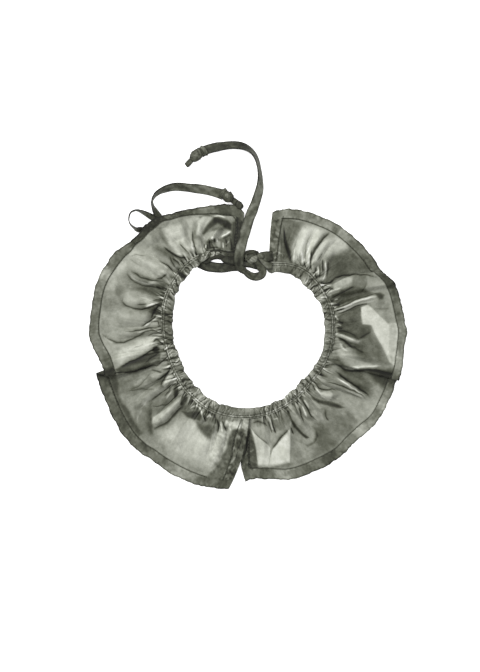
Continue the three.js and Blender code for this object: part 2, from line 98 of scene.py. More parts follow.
BACK_TIE = table("x y z lean less",
    [-3.6, 67.4, .7, 0, .1], [-13.6, 67.2, .7, 0, .1], [-21.8, 66.2, .7, 0], [-30.2, 66.8, .7, 0],
    [-38, 68.8, .7, 0], [-45, 73.1, .7, 0], [-62, 84, .7, 0], [-78, 94.4, .7, 0, .2], [-85, 97.4, .7, 0, .3],
    [-89.6, 98, 1.1, -12, .4], [-94.6, 99, 4, -72, .3], [-98.8, 102.6, 4.3, -86, .3],
    [-99.9, 107.2, 4.3, -90, .3], [-98.4, 112.2, 4.3, -93, .3], [-94, 114.2, 4.3, -98, .3],
    [-89.8, 113.4, 4, -110, .3], [-86.4, 111.9, 2.9, -124, .3], [-83, 110, 1.7, -142, .3],
    [-79.4, 108, .9, -166, .3], [-75, 105.4, .7, -180, .3], [-69.4, 102.4, .65, -180, .2],
    [-67, 101.15, .7, -180], [-66, 100.6, 1.6, -180], [-67, 101.15, 2.5, -180], [-69.6, 102.8, 2.6, -180],
    [-73.4, 107, 2.5, -188, .3], [-76.9, 111.9, 3.1, -214, .3], [-79.4, 116.8, 4.6, -248, .2],
    [-80.3, 122.4, 4.6, -262, .2], [-76.6, 128.2, 4.4, -250], [-69.7, 131.9, 4, -232], [-61.3, 134, 3.6, -224],
    [-48.7, 133.1, 3.4, -216], [-36.1, 131.5, 3.2, -206], [-26.4, 129.2, 2.8, -196], [-20.6, 127.4, 3, -190])
LEFT_EXIT = table("x y z lean less",
    [-38, 71.6, 1.5, 0, .3], [-35.4, 73.4, 1.5, 0, .1], [-31.6, 76.2, 1.5, 0, .1], [-26, 77.4, 1.6, 0, .1],
    [-21, 76.4, 1.6, 0, .05], [-18.2, 75, 1.7, 0, -.2], [-13, 74.2, 1.9, 0, -.3], [-8.4, 74.2, 2.2, 0, -.1],
    [-3.8, 74.6, 2.8, 0, .3])
RIGHT_EXIT = table("x y z lean less",
    [8.6, 74.4, 3.4, 0, .2], [12.4, 75, 2.7, 0], [16.2, 75.4, 2.2, 0], [20.6, 75.8, 1.8, 0, .1])
# How each knot is wound, from the inside out. Lumps: middle, size, turn, tone. Bands: width, thickness, tone, route.
# The tones hold painted shade deep in each knot and a painted highlight on its top.
KNOTS = {
    "tie_knot": {
        "lumps": [((4.4, 73.6, 2.8), (15.4, 11, 5.4), 0, .13), ((4.6, 73.4, 4.8), (8, 6.6, 5), 28, .44),
                  ((10.2, 75.8, 3.4), (7, 5.8, 4.2), 10, .28)],
        "bands": [(3.8, 2.4, .19, (-4.6, 76.4, 2.4), (-.8, 78.6, 3.6), (4, 79.4, 3.6), (8.6, 78.2, 2.6)),
                  (5.4, 2.4, .13, (-4.6, 70.2, 2.4), (-1, 69, 3.8), (3, 68.4, 4), (7.8, 66.8, 3.4)),
                  (6.6, 2.2, .42, (6, 73.2, 4.2), (10.2, 70.8, 4.2), (14.6, 68.4, 3.9), (20.4, 67.4, 3.4)),
                  (2.6, 2, .34, (-2.4, 77.4, 3.2), (-1, 74.4, 4.9), (1.2, 71.2, 5), (3.8, 69.4, 4)),
                  (2.4, 2, .24, (7.4, 78, 3.6), (4.2, 76.6, 6.2), (.8, 74.2, 6), (-2.2, 72.4, 4.6))]},
    "tie_front_knot": {
        "lumps": [((-42.6, 161, 2.9), (14.4, 9.6, 4.8), 219, .22), ((-43.6, 159.8, 4.2), (7.4, 4.4, 2.8), 230, .3)],
        "bands": [(3.4, 1.6, .36, (-35, 160.6, 1.6), (-35.6, 163.4, 4.4), (-38, 166.4, 4.2), (-39.8, 167.6, 1.8)),
                  (2.8, 1.6, .22, (-41, 157.6, 1.4), (-39.6, 160.8, 5), (-41.4, 164, 5), (-43.6, 165, 1.8)),
                  (4.8, 2.2, .26, (-45.6, 158.4, 2.6), (-48.6, 155.4, 2), (-50.6, 153.2, 1.6), (-52.2, 151.9, 1.4))]},
    "tie_back_knot": {
        "lumps": [((-17.4, 126, 2.9), (11.6, 9.2, 5.2), -36, .17), ((-17.2, 126.4, 4.2), (5, 4.6, 3.6), -30, .36),
                  ((-7.4, 118.8, 2), (8, 6.4, 3.8), -50, .13)],
        "bands": [(3, 1.6, .3, (-23.2, 124.6, 1.6), (-22, 128.2, 4.6), (-19.8, 131.2, 4), (-18.4, 132, 1.6)),
                  (2.2, 1.6, .18, (-17.6, 121.8, 1.6), (-15.2, 123.8, 4.2), (-13.8, 127, 4.4), (-15, 129.8, 1.6)),
                  (5.4, 2.2, .22, (-15, 124.4, 2.4), (-12.2, 122.4, 2), (-9.8, 120.8, 1.8), (-7.8, 119.6, 1.8))]},
}
# Tone of each tail's tape, by the share of its length.
FRONT_TONES = [(0, .3), (.05, .32), (.1, .24), (.15, .3), (.2, .24), (.24, .28), (.28, .4), (.33, .32), (.37, .42),
               (.42, .34), (.47, .43), (.52, .35), (.57, .42), (.62, .32), (.68, .26), (.75, .22), (.8, .17),
               (.88, .19), (.94, .21), (1, .24)]
BACK_TONES = [(0, .17), (.06, .19), (.14, .22), (.3, .24), (.42, .26), (.5, .3), (.6, .26), (.7, .24), (.8, .3),
              (.86, .34), (.93, .4), (1, .34)]

# ---- Form of the casing and the ruffles ----
# The casing's inner edge, the seam and how fully it is gathered, round the neck.
RING = table("at inner seam gathered",
    [100, 68.5, 71.6, .1], [105, 71.8, 74.9, .3], [112, 74.2, 78.4, .7], [120, 74.4, 80.6, .9],
    [130, 74, 81, 1], [140, 72.8, 80, 1], [150, 70.6, 78.6, .8], [160, 67.3, 76.6, .8],
    [170, 65.2, 73.8, .8], [180, 62.9, 71.4, .9], [190, 61, 69.9, 1], [200, 60.4, 69.1, 1], [210, 60.2, 68.6, 1],
    [225, 59.8, 68.6, .9], [240, 60.3, 68.8, .8], [252, 59.8, 68.4, .6], [258, 59.4, 68, .12],
    [270, 58.8, 67, .08], [276, 58.6, 66.5, .15], [283, 58.5, 65.9, .9], [295, 58.1, 65, .9],
    [310, 57.4, 64.5, 1], [320, 57.1, 64.3, 1], [330, 58.6, 65.5, .9], [340, 60.9, 67.6, .8],
    [350, 63, 69.7, .4], [362, 63.9, 71.4, .35], [375, 65.6, 73.6, .6], [385, 66.3, 74.7, 1],
    [395, 65.8, 74.9, 1], [405, 65, 75.3, .9], [413, 64.6, 74.2, .5], [420, 62.7, 71.8, .2],
    [428, 59.8, 67.9, .1], [435, 57.6, 65.4, .05], [442, 57.6, 63.4, .05])
# The casing's section: across it from the neck edge to the seam, up it, and how much it takes of the gathers.
SECTION = table("across up takes",
    [0, .4, 1], [.05, .16, .8], [.16, 0, .4], [.5, 0, 0], [.92, 0, 0], [1, .16, 0], [1, .46, 0], [.95, .6, .2],
    [.88, .66, .3], [.8, .7, .5], [.7, .8, .8], [.58, .92, 1], [.44, 1, 1], [.3, .98, 1], [.16, .86, 1],
    [.05, .64, 1])
CRINKLES = 330  # short slanting ones in the casing
# Ribs from the neck seam to the hem: angle at the hem, halfway and at the neck, reach of the hem, and how many layers
# of a pleat lie beneath them: midway, at the hem and at the neck (0 at the neck means the usual share).
LEFT_RIBS = table("hem mid neck reach up upHem upNeck",
    [92, 93.6, 98.4, 105.6], [95.2, 97, 101.2, 111.6], [100, 101.6, 104.6, 114.4], [108, 108.8, 110.4, 116.3],
    [116, 116.2, 116.6, 120.2], [122, 122, 122, 123], [128, 128, 128, 127.4], [132, 132, 132, 128.6],
    [137, 137, 137, 126.9], [141, 141, 141, 128.4], [147, 147, 147, 133.2], [153, 153, 153, 134.8],
    [161, 161, 161, 135.8], [170, 169.6, 169.6, 134.5], [178, 177, 177, 134], [183, 181.4, 182, 131.4],
    [186, 184, 185, 128.6], [188.6, 186.6, 187.6, 126.4], [190.4, 188.9, 189, 125.4, 2, 2],
    [193, 193, 190.6, 124.8, 2, 2], [194.2, 195.2, 191.7, 124.8, 2, 2], [194.6, 195.7, 192.5, 124.9, 1.65, 1.5],
    [194.2, 195.2, 193.3, 125.3, 1.25, 1], [193.9, 193, 194.1, 128, 1, 1], [193.4, 193, 194.9, 130.6, .75, 1],
    [193.2, 192.8, 195.7, 131.4, .35, .5], [193.5, 192.9, 196.5, 131.6], [194.6, 193.8, 197.6, 131.7],
    [196.6, 197, 199, 131.6], [203, 203, 203.6, 131.3], [211, 211, 211, 132.2], [220, 220, 220, 133.5],
    [226, 226, 226, 132.6], [231, 231, 231, 131], [240, 240, 240, 131.2], [249, 250, 251, 131],
    [254.4, 256, 257, 130.1], [258, 261.4, 263.2, 129.2, 1, .3, 1], [260.4, 264.4, 267, 128.4, 1, .3, 1],
    [262.6, 267.2, 270.3, 127.7, 1, .3, 1])
RIGHT_RIBS = table("hem mid neck reach up upHem upNeck",
    [268.8, 265.4, 264.4, 121], [270.8, 268.2, 267.2, 118.9], [273, 271.2, 270, 118.5], [278, 277.4, 277, 119.3],
    [283, 283, 283, 122.2], [288, 288, 288, 124.4], [298, 298, 298, 125.3], [308, 308, 308, 126.2],
    [314, 314, 314, 125.1], [320, 320, 320, 126.8], [328, 328, 328, 129.2], [336, 336, 335, 129.1],
    [341, 341, 337.5, 129.5], [345, 346, 338.8, 129.8], [347.6, 348.8, 339.8, 130],
    [348, 349.3, 340.6, 130, .35, .5], [347.6, 348.8, 341.4, 130.2, .75, 1], [346.2, 346.6, 342.2, 130.8, 1, 1],
    [344.8, 344.6, 343, 131.3, 1.25, 1], [344.4, 344.1, 343.8, 131.4, 1.65, 1.5], [344.8, 344.6, 344.6, 131.5, 2, 2],
    [347, 347.4, 346, 131.5, 2, 2], [349.4, 350.4, 347.8, 131.4, 2, 2], [352, 354, 350.6, 131.3],
    [357, 358, 356, 131.6], [363.2, 363.4, 362.6, 133.2], [365, 365.2, 365, 132.6], [372, 372, 372, 131.9],
    [377, 379, 380, 131.8], [379, 381.6, 385, 131.5], [380.9, 384.2, 388, 130.8, 2, 2],
    [383.2, 388.4, 389.7, 129, 2, 2], [384.6, 390.6, 391, 127.4, 2, 2], [385, 391.1, 391.9, 127, 1.65, 1.5],
    [384.8, 390.6, 392.8, 127, 1.25, 1], [384, 388.4, 393.7, 127.6, 1, 1], [382.8, 386, 394.6, 127.2, .75, 1],
    [382.4, 385.5, 395.4, 127, .35, .5], [382.8, 386, 396.2, 126.9], [385, 389.4, 397.2, 126.4],
    [387.4, 393, 398.6, 125.4], [393, 397.4, 402, 124.5], [402, 403.8, 406.6, 123], [410, 410.6, 412, 121.8],
    [418, 417.6, 418, 119.4], [426, 425, 424, 116.8], [432.6, 431.2, 429, 113.7], [436, 434.8, 432.2, 111.3],
    [439.2, 438, 435, 107.6])
# The line of stitching at each ruffle's two short ends, and the side of it that the hem is on (left is +1).
LEFT_ENDS = [
    ([(97, 102.6), (96.4, 101.4), (95.8, 96.3), (97.3, 83.1), (99.6, 73.3), (100.4, 70)], 1),
    ([(259.8, 120.7), (260.5, 114), (261.5, 105.2), (261.8, 96.7), (261.9, 86.5), (263.4, 76.1), (265, 69)], -1)]
RIGHT_ENDS = [
    ([(271.4, 110), (270.4, 106), (270.2, 98), (270.1, 86), (269.6, 77), (269.4, 68)], 1),
    ([(434, 105.4), (434.2, 104), (433.2, 90), (431.2, 76), (430.4, 66)], -1)]
# How wide the turned hem is along the outer edge.
HEM = table("at wide",
    [92, 9], [100, 9.4], [105, 7.2], [112, 6], [120, 4.9], [126, 5], [131, 7], [136, 5.6], [140, 4.9], [145, 8.2],
    [150, 8.6], [158, 7.7], [175, 7.8], [184, 9.2], [195, 9.3], [205, 8.8], [215, 9], [230, 8.5], [240, 9.2],
    [250, 9], [257, 8], [275, 9], [285, 9.2], [300, 9], [312, 8], [322, 9], [330, 7.3], [345, 7.2], [355, 6.4],
    [370, 7.3], [380, 7.2], [386, 8.2], [395, 8], [425, 8.1], [440, 8])
# Large folds: angle of the ridge near the neck, halfway and at its far end, the distances it runs between, half width
# and height.
LEFT_FOLDS = table("neck mid far from to wide high",
    [112, 107, 100, 86, 100, 5.5, 4.2], [118, 116, 109, 84, 110, 5.5, 3], [123.6, 123.4, 120, 82, 114, 5.5, 3],
    [129.4, 129.4, 129, 82, 116, 4.8, 3.4], [136.4, 136.4, 136.6, 82, 118, 5, 3],
    [143, 143, 144.5, 82, 124, 6.6, 3.4], [147.4, 150.6, 151.6, 80, 117, 4, 5],
    [159.4, 161.6, 161.4, 78, 113, 7.8, 4.6], [169, 170.4, 170, 82, 118, 9, 4.4],
    [176, 177, 179.6, 73, 116, 4.8, 3.4], [184, 185.6, 186, 73, 116, 7.6, 4], [202, 203, 204, 71, 117, 6.5, 2.8],
    [208, 209.4, 212, 70, 116, 4.4, 4.2], [215.6, 216.4, 219, 72, 106, 6.4, 3.4],
    [222, 222.4, 222.6, 72, 114, 4.6, 4.6], [231.4, 233, 234, 86, 118, 11, 2.6], [241, 240, 240, 71, 84, 4.2, 3.4],
    [247, 248, 246, 71, 116, 7.5, 3], [254.6, 255, 253, 71, 116, 4.6, 2.4])
RIGHT_FOLDS = table("neck mid far from to wide high",
    [275.4, 277.6, 277.4, 70, 108, 5, 2.8], [281, 280, 279, 70, 96, 4.4, 2.6], [288.6, 291, 287, 69, 108, 6.4, 3],
    [293.4, 295, 296, 68, 92, 3.6, 3.2], [301, 301.4, 302.4, 67, 100, 5.2, 4.4], [307, 307.6, 310, 67, 92, 4, 3.6],
    [313, 312, 312.6, 67, 96, 4.6, 4.4], [324.6, 323.6, 330, 68, 92, 5.4, 4.8],
    [329.6, 332.6, 333, 68, 117, 4, 5], [339, 338.4, 338, 74, 118, 5, 3.2],
    [352, 351, 348.6, 74, 117, 4.6, 2.4], [361.6, 359.6, 357.4, 74, 96, 4, 4.4],
    [370.6, 371, 372, 76, 96, 6.4, 2.2], [378.6, 379, 377.6, 76, 113, 4.2, 4.6], [401, 405, 407, 78, 108, 5.2, 3.2],
    [407, 410.4, 409, 77, 116, 4.4, 3.6], [411.4, 414.6, 415, 77, 117, 4.2, 3.8],
    [417, 420.4, 421, 76, 112, 5.6, 4.2], [427, 430, 432, 74, 104, 4.8, 2.2])
# What the collar rides over: strips of drawstring beneath it. Ends of each strip, half width, height, ramp.
LIFTS = table("x0 y0 x1 y1 half high ramp",
    [-36, 66.5, -82, 96, 5.8, 1.8, 10], [-83, 96, -94, 100, 6.6, 3.5, 9], [-64.5, 99.6, -76, 106.4, 7, 3.7, 9],
    [-74, 107, -78, 111, 6, 4.7, 8])

# ---- Tone of the cloth ----
# 0 is the deepest dye, 1 is bare white. Single cloth over a white ground is pale, and folded or turned cloth is dark.
# The tone also carries painted light and shade: painted shade in creases, dips and beside folds, and painted
# highlights on ridges and puffs.
GAIN = 1.15  # how much light a white surface sends up under these lamps
DYE_AND_SHADE_COLOURS = [(0, (19, 20, 12)), (.14, (36, 37, 27)), (.28, (69, 71, 58)), (.38, (96, 98, 85)),
               (.48, (120, 122, 110)), (.65, (164, 166, 154)), (.8, (203, 205, 193)), (1, (246, 247, 240))]
BARE_TONE = .55  # where no patch lies
NARROW_CREASE = 1.25  # a crease that reaches no further than this on one side has a sharp middle
CREASE_HEIGHT = 1.6  # for a whole unit of tone
RAISED = (-1.6, 2)  # how far creases may lower and raise the cloth
# Tone shifts round the neck: how much paler the cloth near the seam is, how much darker the hem is
# and how much paler the casing is.
NECK_TONE_SHIFT = table("at tone", [110, .03], [150, .03], [185, 0], [230, -.03], [300, -.05], [380, -.05], [430, -.02])
HEM_DARKENING = table("at darker", [120, .02], [150, .03], [185, .03], [230, .015], [300, .015], [345, -.012], [380, .01],
    [430, .015])
CASING_TONE_SHIFT = table("at tone", [120, 0], [140, -.07], [185, -.08], [200, -.05], [258, .03], [280, .05], [300, .04],
    [345, -.04], [400, -.05])
# Tone along the hems, with painted shade where a pleat's upper layer lies over the hem, near 193, 343 and 381
# degrees:
HEM_TONE = table("at tone",
    [92, .28], [98, .34], [105, .38], [120, .33], [132, .27], [145, .31], [150, .42], [156, .51], [162, .46],
    [175, .43], [184, .42], [191.4, .38], [192.8, .26], [196, .24], [199, .33], [203, .35], [215, .33], [222, .38],
    [232, .46], [240, .45], [250, .42], [256, .33], [262, .27], [268, .28], [272, .38], [278, .45], [284, .5],
    [289, .5], [296, .42], [300, .38], [305, .37], [308, .46], [312, .5], [318, .46], [325, .48], [333, .46],
    [338.6, .42], [341.6, .27], [344.6, .25], [348, .44], [351, .52], [356, .53], [358.6, .5], [364, .48], [368, .46],
    [373, .36], [378, .3], [381, .2], [384.4, .24], [387, .4], [395, .45], [405, .42], [409, .44], [410.4, .25],
    [412, .25], [413.4, .45], [425, .47], [432, .42], [438, .36])
# Patches: tone, width of the soft edge, speckle, then the corners (x, y). Pale patches are single cloth over the
# white ground and dark ones double cloth, and many are painted shade beside folds and painted light on bulges.
PATCHES = [
    # left ruffle, from its back edge round to the front
    (.57, 3, .03, (-92.4,86.9), (-82.3,96.2), (-71.4,99.5), (-68.9,92.8), (-71.4,86.1), (-80.6,84.4), (-89,81.1)),
    (.74, 2, .02, (-71.4,98.7), (-63.8,102.1), (-52.9,104.6), (-46.2,102.1), (-46.2,89.5), (-46.2,81.9), (-49.6,81.1),
     (-53.8,84.4), (-58,87.8), (-54.6,81.1), (-51.2,76), (-57.1,76.9), (-62.2,80.2), (-67.2,84.4), (-69.7,91.1)),
    (.56, 2, .03, (-79,89.5), (-73.9,90.3), (-68,86.9), (-67.2,82.7), (-73.1,83.6), (-78.1,84.4)),
    (.7, 3, .02, (-109.2,71), (-100.8,74.3), (-90.7,75.2), (-80.6,71), (-72.2,68.5), (-67.2,64.3), (-71.4,60.1),
     (-78.1,56.7), (-84,57.5), (-90.7,60.9), (-97.4,64.3), (-102.5,64.3), (-105.8,62.6), (-109.2,55.9), (-111.7,45.8),
     (-114.2,39.1), (-119.3,37.4), (-120.1,47.5), (-115.9,59.2)),
    (.66, 3, .02, (-100.8,81.1), (-92.4,84.4), (-82.3,84.4), (-75.6,77.7), (-70.6,73.5), (-73.9,70.1), (-82.3,72.7),
     (-92.4,75.2), (-100.8,75.2)),
    (.42, 2, .03, (-79.8,84.4), (-73.9,82.7), (-67.2,79.4), (-60.5,75.2), (-54.6,73.5), (-51.2,74.3), (-53.8,69.3),
     (-60.5,71), (-67.2,73.5), (-73.9,76), (-79,80.2)),
    (.6, 4, .02, (-123.5,32.3), (-114.2,34.9), (-104.2,31.5), (-94.1,31.5), (-85.7,29.8), (-83.2,23.9), (-85.7,18.9),
     (-92.4,14.7), (-100.8,11.3), (-95.8,8), (-104.2,4.6), (-114.2,5.5), (-121.8,11.3)),
    (.66, 4, .01, (-106.7,30.7), (-95.8,31.5), (-87.4,29), (-84.8,24.8), (-89,19.7), (-95.8,16.4), (-102.5,18.9)),
    (.5, 4, .03, (-119.3,45.8), (-114.2,44.9), (-112.6,35.7), (-115.9,32.3), (-120.1,36.5)),
    (.53, 4, .02, (-103.3,54.2), (-95.8,55), (-89,51.7), (-92.4,46.6), (-100.8,45.8), (-105,48.3)),
    (.3, 2.4, .02, (-92.4,49.1), (-85.7,50.4), (-79.8,50.8), (-75.6,48.3), (-73.9,42.4), (-78.1,39.9), (-84,41.6),
     (-90.7,44.1), (-94.9,46.6)),
    (.4, 2, .05, (-80.6,51.7), (-72.2,54.2), (-68.9,52.5), (-71.4,39.1), (-75.6,39.1), (-77.3,45.8)),
    (.63, 2, .02, (-103.3,44.9), (-95.8,45.8), (-86.5,42.8), (-78.1,39.9), (-80.6,36.5), (-90.7,35.3), (-99.1,34.4),
     (-104.2,37.4)),
    (.34, 2, .05, (-84,30.7), (-78.1,34), (-73.1,35.7), (-73.1,29), (-77.3,27.3), (-80.6,23.9), (-83.2,23.1)),
    (.6, 1, .02, (-83.2,18.5), (-79.8,20.2), (-76.4,20.2), (-76,17.6), (-80.6,16.4)),
    (.63, 1, .02, (-121.8,8.8), (-117.6,7.1), (-113.4,2.9), (-115.9,.4), (-120.1,3.8)),
    (.6, 3, .02, (-121,2.9), (-114.2,.4), (-113.4,-5.5), (-110,-13.9), (-113.4,-15.5), (-117.6,-6.3)),
    (.69, 2.6, .02, (-113.4,-4.6), (-105.8,-.4), (-95.8,2.9), (-89,5.5), (-82.3,5.5), (-79,7.1), (-75.6,8.8),
     (-78.1,10.5), (-84,8.8), (-90.7,6.3), (-99.1,2.9), (-107.5,.4), (-115.9,-1.3), (-115.1,-6.3), (-112.6,-12.2),
     (-110,-17.2), (-104.2,-13.9), (-95.8,-9.7), (-90.7,-6.3)),
    (.78, 1.6, .02, (-106.7,-13.9), (-101.6,-10.5), (-95.8,-8), (-89,-4.6), (-84,-2.1), (-81.5,2.9), (-79,7.1),
     (-82.3,7.1), (-89,4.6), (-96.6,1.3), (-104.2,-2.1), (-108.4,-5.5), (-108.4,-11.3)),
    (.29, .8, .02, (-112.6,-19.7), (-108.4,-17.6), (-101.6,-14.7), (-93.2,-10.9), (-85.7,-7.1), (-80.6,-4.6),
     (-75.6,-2.9), (-73.5,-6.3), (-73.9,-10.5), (-77.3,-13), (-82.3,-15.1), (-88.2,-18.1), (-97.4,-20.6),
     (-107.5,-21)),
    (.39, 1.3, .02, (-105.8,-18.5), (-97.4,-16), (-89,-13), (-84,-11.3), (-88.2,-15.5), (-97.4,-18.5)),
    (.43, 1, .02, (-83.2,-12.6), (-76.4,-9.2), (-73.5,-11.3), (-74.8,-14.3), (-80.6,-15.1)),
    (.17, .8, .03, (-79.8,-.4), (-76.4,1.3), (-74.3,-2.1), (-77.3,-5), (-80.6,-3.8)),
    (.44, 3, .03, (-113.4,-22.3), (-99.1,-21.4), (-85.7,-19.7), (-80.6,-21.4), (-82.3,-28.1), (-90.7,-34.9),
     (-100.8,-38.2), (-106.7,-38.2), (-110.9,-31.5)),
    (.52, 3, .03, (-103.3,-35.7), (-94.9,-32.3), (-84,-26.5), (-78.1,-25.6), (-80.6,-32.3), (-82.3,-38.2),
     (-89,-44.9), (-94.9,-55), (-99.1,-49.1), (-102.5,-42.4)),
    (.48, 3, .02, (-97.4,-55), (-90.7,-46.6), (-84,-48.3), (-82.3,-61.7), (-83.2,-71.8), (-89,-75.2), (-94.1,-68.5)),
    (.3, 1.5, .02, (-118.4,-23.1), (-111.7,-21.4), (-110,-28.1), (-108.8,-37.4), (-105.8,-45.8), (-100.8,-54.2),
     (-94.9,-64.3), (-88.2,-72.7), (-91.6,-75.2), (-98.3,-68.5), (-104.2,-58.4), (-110,-48.3), (-114.2,-39.1),
     (-117.6,-29)),
    (.65, .9, .02, (-81.5,-23.5), (-76.4,-21.8), (-71.4,-22.7), (-73.5,-25.6), (-77.3,-26.9), (-80.6,-25.6)),
    (.45, 1.6, .04, (-82.3,-28.1), (-75.6,-28.1), (-71.4,-27.3), (-71.4,-34), (-77.3,-34.9), (-82.3,-34)),
    (.69, 1.3, .02, (-89.9,-49.1), (-85.7,-43.7), (-80.6,-39.5), (-75.6,-36.1), (-71.4,-34.4), (-67.6,-33.6),
     (-68.9,-36.5), (-73.9,-39.5), (-79.8,-43.3), (-83.2,-45.8), (-86.5,-49.6)),
    (.77, .7, .02, (-71.4,-32.3), (-68.9,-26.9), (-66.4,-23.1), (-63.4,-21), (-62.6,-24.8), (-65.1,-28.1),
     (-67.6,-31.9), (-70.1,-34.9)),
    (.44, 1.5, .03, (-81.5,-50), (-82.3,-46.2), (-76.4,-42), (-69.7,-37.8), (-65.5,-35.7), (-63,-39.1), (-65.5,-44.1),
     (-68.9,-48.3), (-75.6,-50)),
    (.22, .8, .03, (-62.6,-35.7), (-59.6,-32.8), (-58.4,-36.5), (-59.2,-41.6), (-61.3,-44.1), (-62.6,-39.9)),
    (.44, 1.3, .03, (-80.6,-50.8), (-75.6,-51.2), (-68,-49.6), (-61.3,-44.9), (-57.1,-41.6), (-58.8,-43.3),
     (-63.8,-48.3), (-68.9,-52.5), (-75.6,-56.7), (-80.6,-58.4)),
    (.69, .9, .01, (-80.6,-59.6), (-75.6,-57.1), (-68.9,-52.9), (-63.8,-48.7), (-58.8,-43.7), (-56.3,-43.3),
     (-56.7,-48.3), (-61.3,-53.3), (-65.5,-57.5), (-69.7,-61.7), (-75.6,-63.8), (-80.6,-65.1)),
    (.19, .9, .03, (-55,-43.3), (-52.1,-39.9), (-50.4,-43.3), (-52.1,-46.6), (-55.4,-50), (-57.1,-48.3)),
    (.37, 1.5, .07, (-53.8,-46.6), (-47,-44.9), (-41.2,-49.1), (-40.3,-53.3), (-47,-52.5), (-52.1,-54.2),
     (-56.3,-52.5)),
    (.71, 3.5, .01, (-75.6,-73.5), (-67.2,-66.8), (-60.5,-60.9), (-55.4,-58.4), (-50.4,-60.9), (-44.5,-64.3),
     (-41.2,-69.3), (-35.3,-74.3), (-29.4,-76.9), (-26,-71), (-21.8,-70.1), (-16,-71), (-16,-78.5), (-19.3,-87.8),
     (-25.2,-95.3), (-31.1,-100.4), (-40.3,-98.7), (-50.4,-95.3), (-60.5,-92), (-68.9,-86.1)),
    (.74, 4, .01, (-60.5,-66.8), (-48.7,-66.8), (-40.3,-75.2), (-31.9,-79.4), (-25.2,-75.2), (-20.2,-75.2),
     (-23.5,-86.1), (-33.6,-93.7), (-47,-91.1), (-58.8,-78.5)),
    (.58, 3, .03, (-82.3,-75.2), (-75.6,-81.9), (-67.2,-88.6), (-57.1,-93.7), (-43.7,-97.9), (-31.9,-102.1),
     (-35.3,-107.1), (-48.7,-102.1), (-65.5,-95.3), (-80.6,-86.1)),
    (.23, 1.2, .02, (-55,-54.2), (-50.4,-54.6), (-45.4,-53.3), (-40.3,-54.2), (-37.8,-58.4), (-40.3,-62.2),
     (-46.2,-61.3), (-51.2,-58.8)),
    (.29, 1.6, .03, (-44.1,-62.6), (-40.3,-65.9), (-37,-65.1), (-33.6,-63.4), (-30.2,-65.9), (-28.1,-70.1),
     (-30.2,-76), (-34.4,-74.3), (-38.6,-71.4), (-42,-68)),
    (.45, 1.2, .06, (-37,-54.2), (-30.2,-55.9), (-26.9,-59.2), (-28.6,-65.1), (-33.6,-61.7), (-37,-62.6)),
    (.75, 1, .04, (-18.9,-61.7), (-14.3,-63), (-10.9,-62.6), (-5.9,-63.8), (-4.2,-67.6), (-6.7,-70.1), (-10.1,-70.1),
     (-14.3,-71.4), (-16.8,-68.9), (-19.3,-65.9)),
    (.6, 1, .12, (-5,-62.6), (1.7,-63.4), (1.7,-69.3), (-1.7,-70.1), (-5.9,-69.3)),
    (.34, 1.5, .02, (-13.4,-70.1), (-8.4,-68.9), (-1.7,-69.3), (1.7,-69.3), (-.8,-82.7), (-6.7,-98.7),
     (-10.1,-108.8), (-14.3,-118.9), (-37.8,-117.2), (-33.6,-109.6), (-27.7,-102.1), (-21.4,-93.7), (-17.2,-85.3),
     (-15.1,-76.9)),
    # left ruffle, the bunched corner at its back
    (.7, 1.4, .01, (-53.8,107.9), (-48.7,107.9), (-42.8,108.8), (-41.2,107.1), (-42,102.1), (-43.7,97), (-46.2,94.5),
     (-46.2,82.7), (-53.8,84.4)),
    (.58, 1.3, .02, (-46.2,104.6), (-42,105.4), (-42,97.9), (-43.7,92.8), (-46.2,92.8)),
    (.74, 1.5, .01, (-42.8,93.7), (-42.4,99.5), (-41.6,105.4), (-39.5,108.4), (-36.1,109.6), (-32.3,109.2),
     (-30.7,107.5), (-33.6,102.1), (-37,97), (-39.9,93.2)),
    (.67, 1.5, .02, (-45.4,91.1), (-42.4,89.9), (-40.3,86.5), (-37,85.7), (-37,81.9), (-41.2,81.1), (-44.1,83.6)),
    (.36, 1.5, .05, (-35.3,89.5), (-28.6,91.1), (-21.8,92), (-14.3,96.2), (-11.8,89.5), (-11.8,80.2), (-35.3,80.2)),
    (.26, 1.5, .01, (-29.4,107.9), (-26,108.8), (-21.8,107.1), (-16,105.8), (-13.9,102.9), (-13.9,97.9), (-17.6,98.3),
     (-21,100.8), (-25.6,102.9), (-29.4,100), (-33.2,96.2), (-36.5,93.2), (-37.4,94.9), (-35.3,98.7), (-31.9,104.6)),
    (.13, 1.4, .01, (-29,107.9), (-23.5,106.7), (-17.6,105.4), (-14.3,103.3), (-14.3,99.1), (-17.6,100), (-21,102.5),
     (-25.2,104.6), (-29,103.3)),
    (.42, 1.5, .01, (-32.8,95.3), (-28.6,99.1), (-24.8,101.2), (-21.4,99.5), (-18.9,97.4), (-23.5,96.6),
     (-28.6,95.3)),
    (.64, 1.3, .02, (-37.8,92.4), (-33.6,95.3), (-28.6,96.6), (-23.5,97.4), (-18.5,97.9), (-14.3,97.4), (-18.1,93.7),
     (-22.7,91.4), (-26.9,90.3), (-30.2,90.7), (-34.4,89), (-37,89.9)),
    (.55, 1.2, .04, (-26,90.3), (-22.7,88.6), (-22.7,83.6), (-24.4,82.7), (-26.9,86.9)),
    (.42, 1, .04, (-31.1,114.7), (-18.5,115.5), (-10.1,116.3), (-8.4,111.3), (-11.8,112.1), (-18.5,110),
     (-31.1,110.5)),
    (.5, 1, .04, (-16,106.7), (-14.3,109.2), (-10.9,108.8), (-10.1,106.3), (-12.6,104.6), (-15.1,104.6)),
    (.25, 1.2, .04, (-13.4,104.6), (-8.8,108.8), (-6.7,104.6), (-8.4,94.5), (-9.7,84.4), (-10.5,76), (-14.3,76),
     (-13.4,89.5)),
    (.22, 1, .05, (-10.1,114.7), (-.8,114.7), (-.8,87.8), (-5.9,71), (-11.8,71), (-10.1,91.1)),
    # right ruffle, from its back edge round to the front
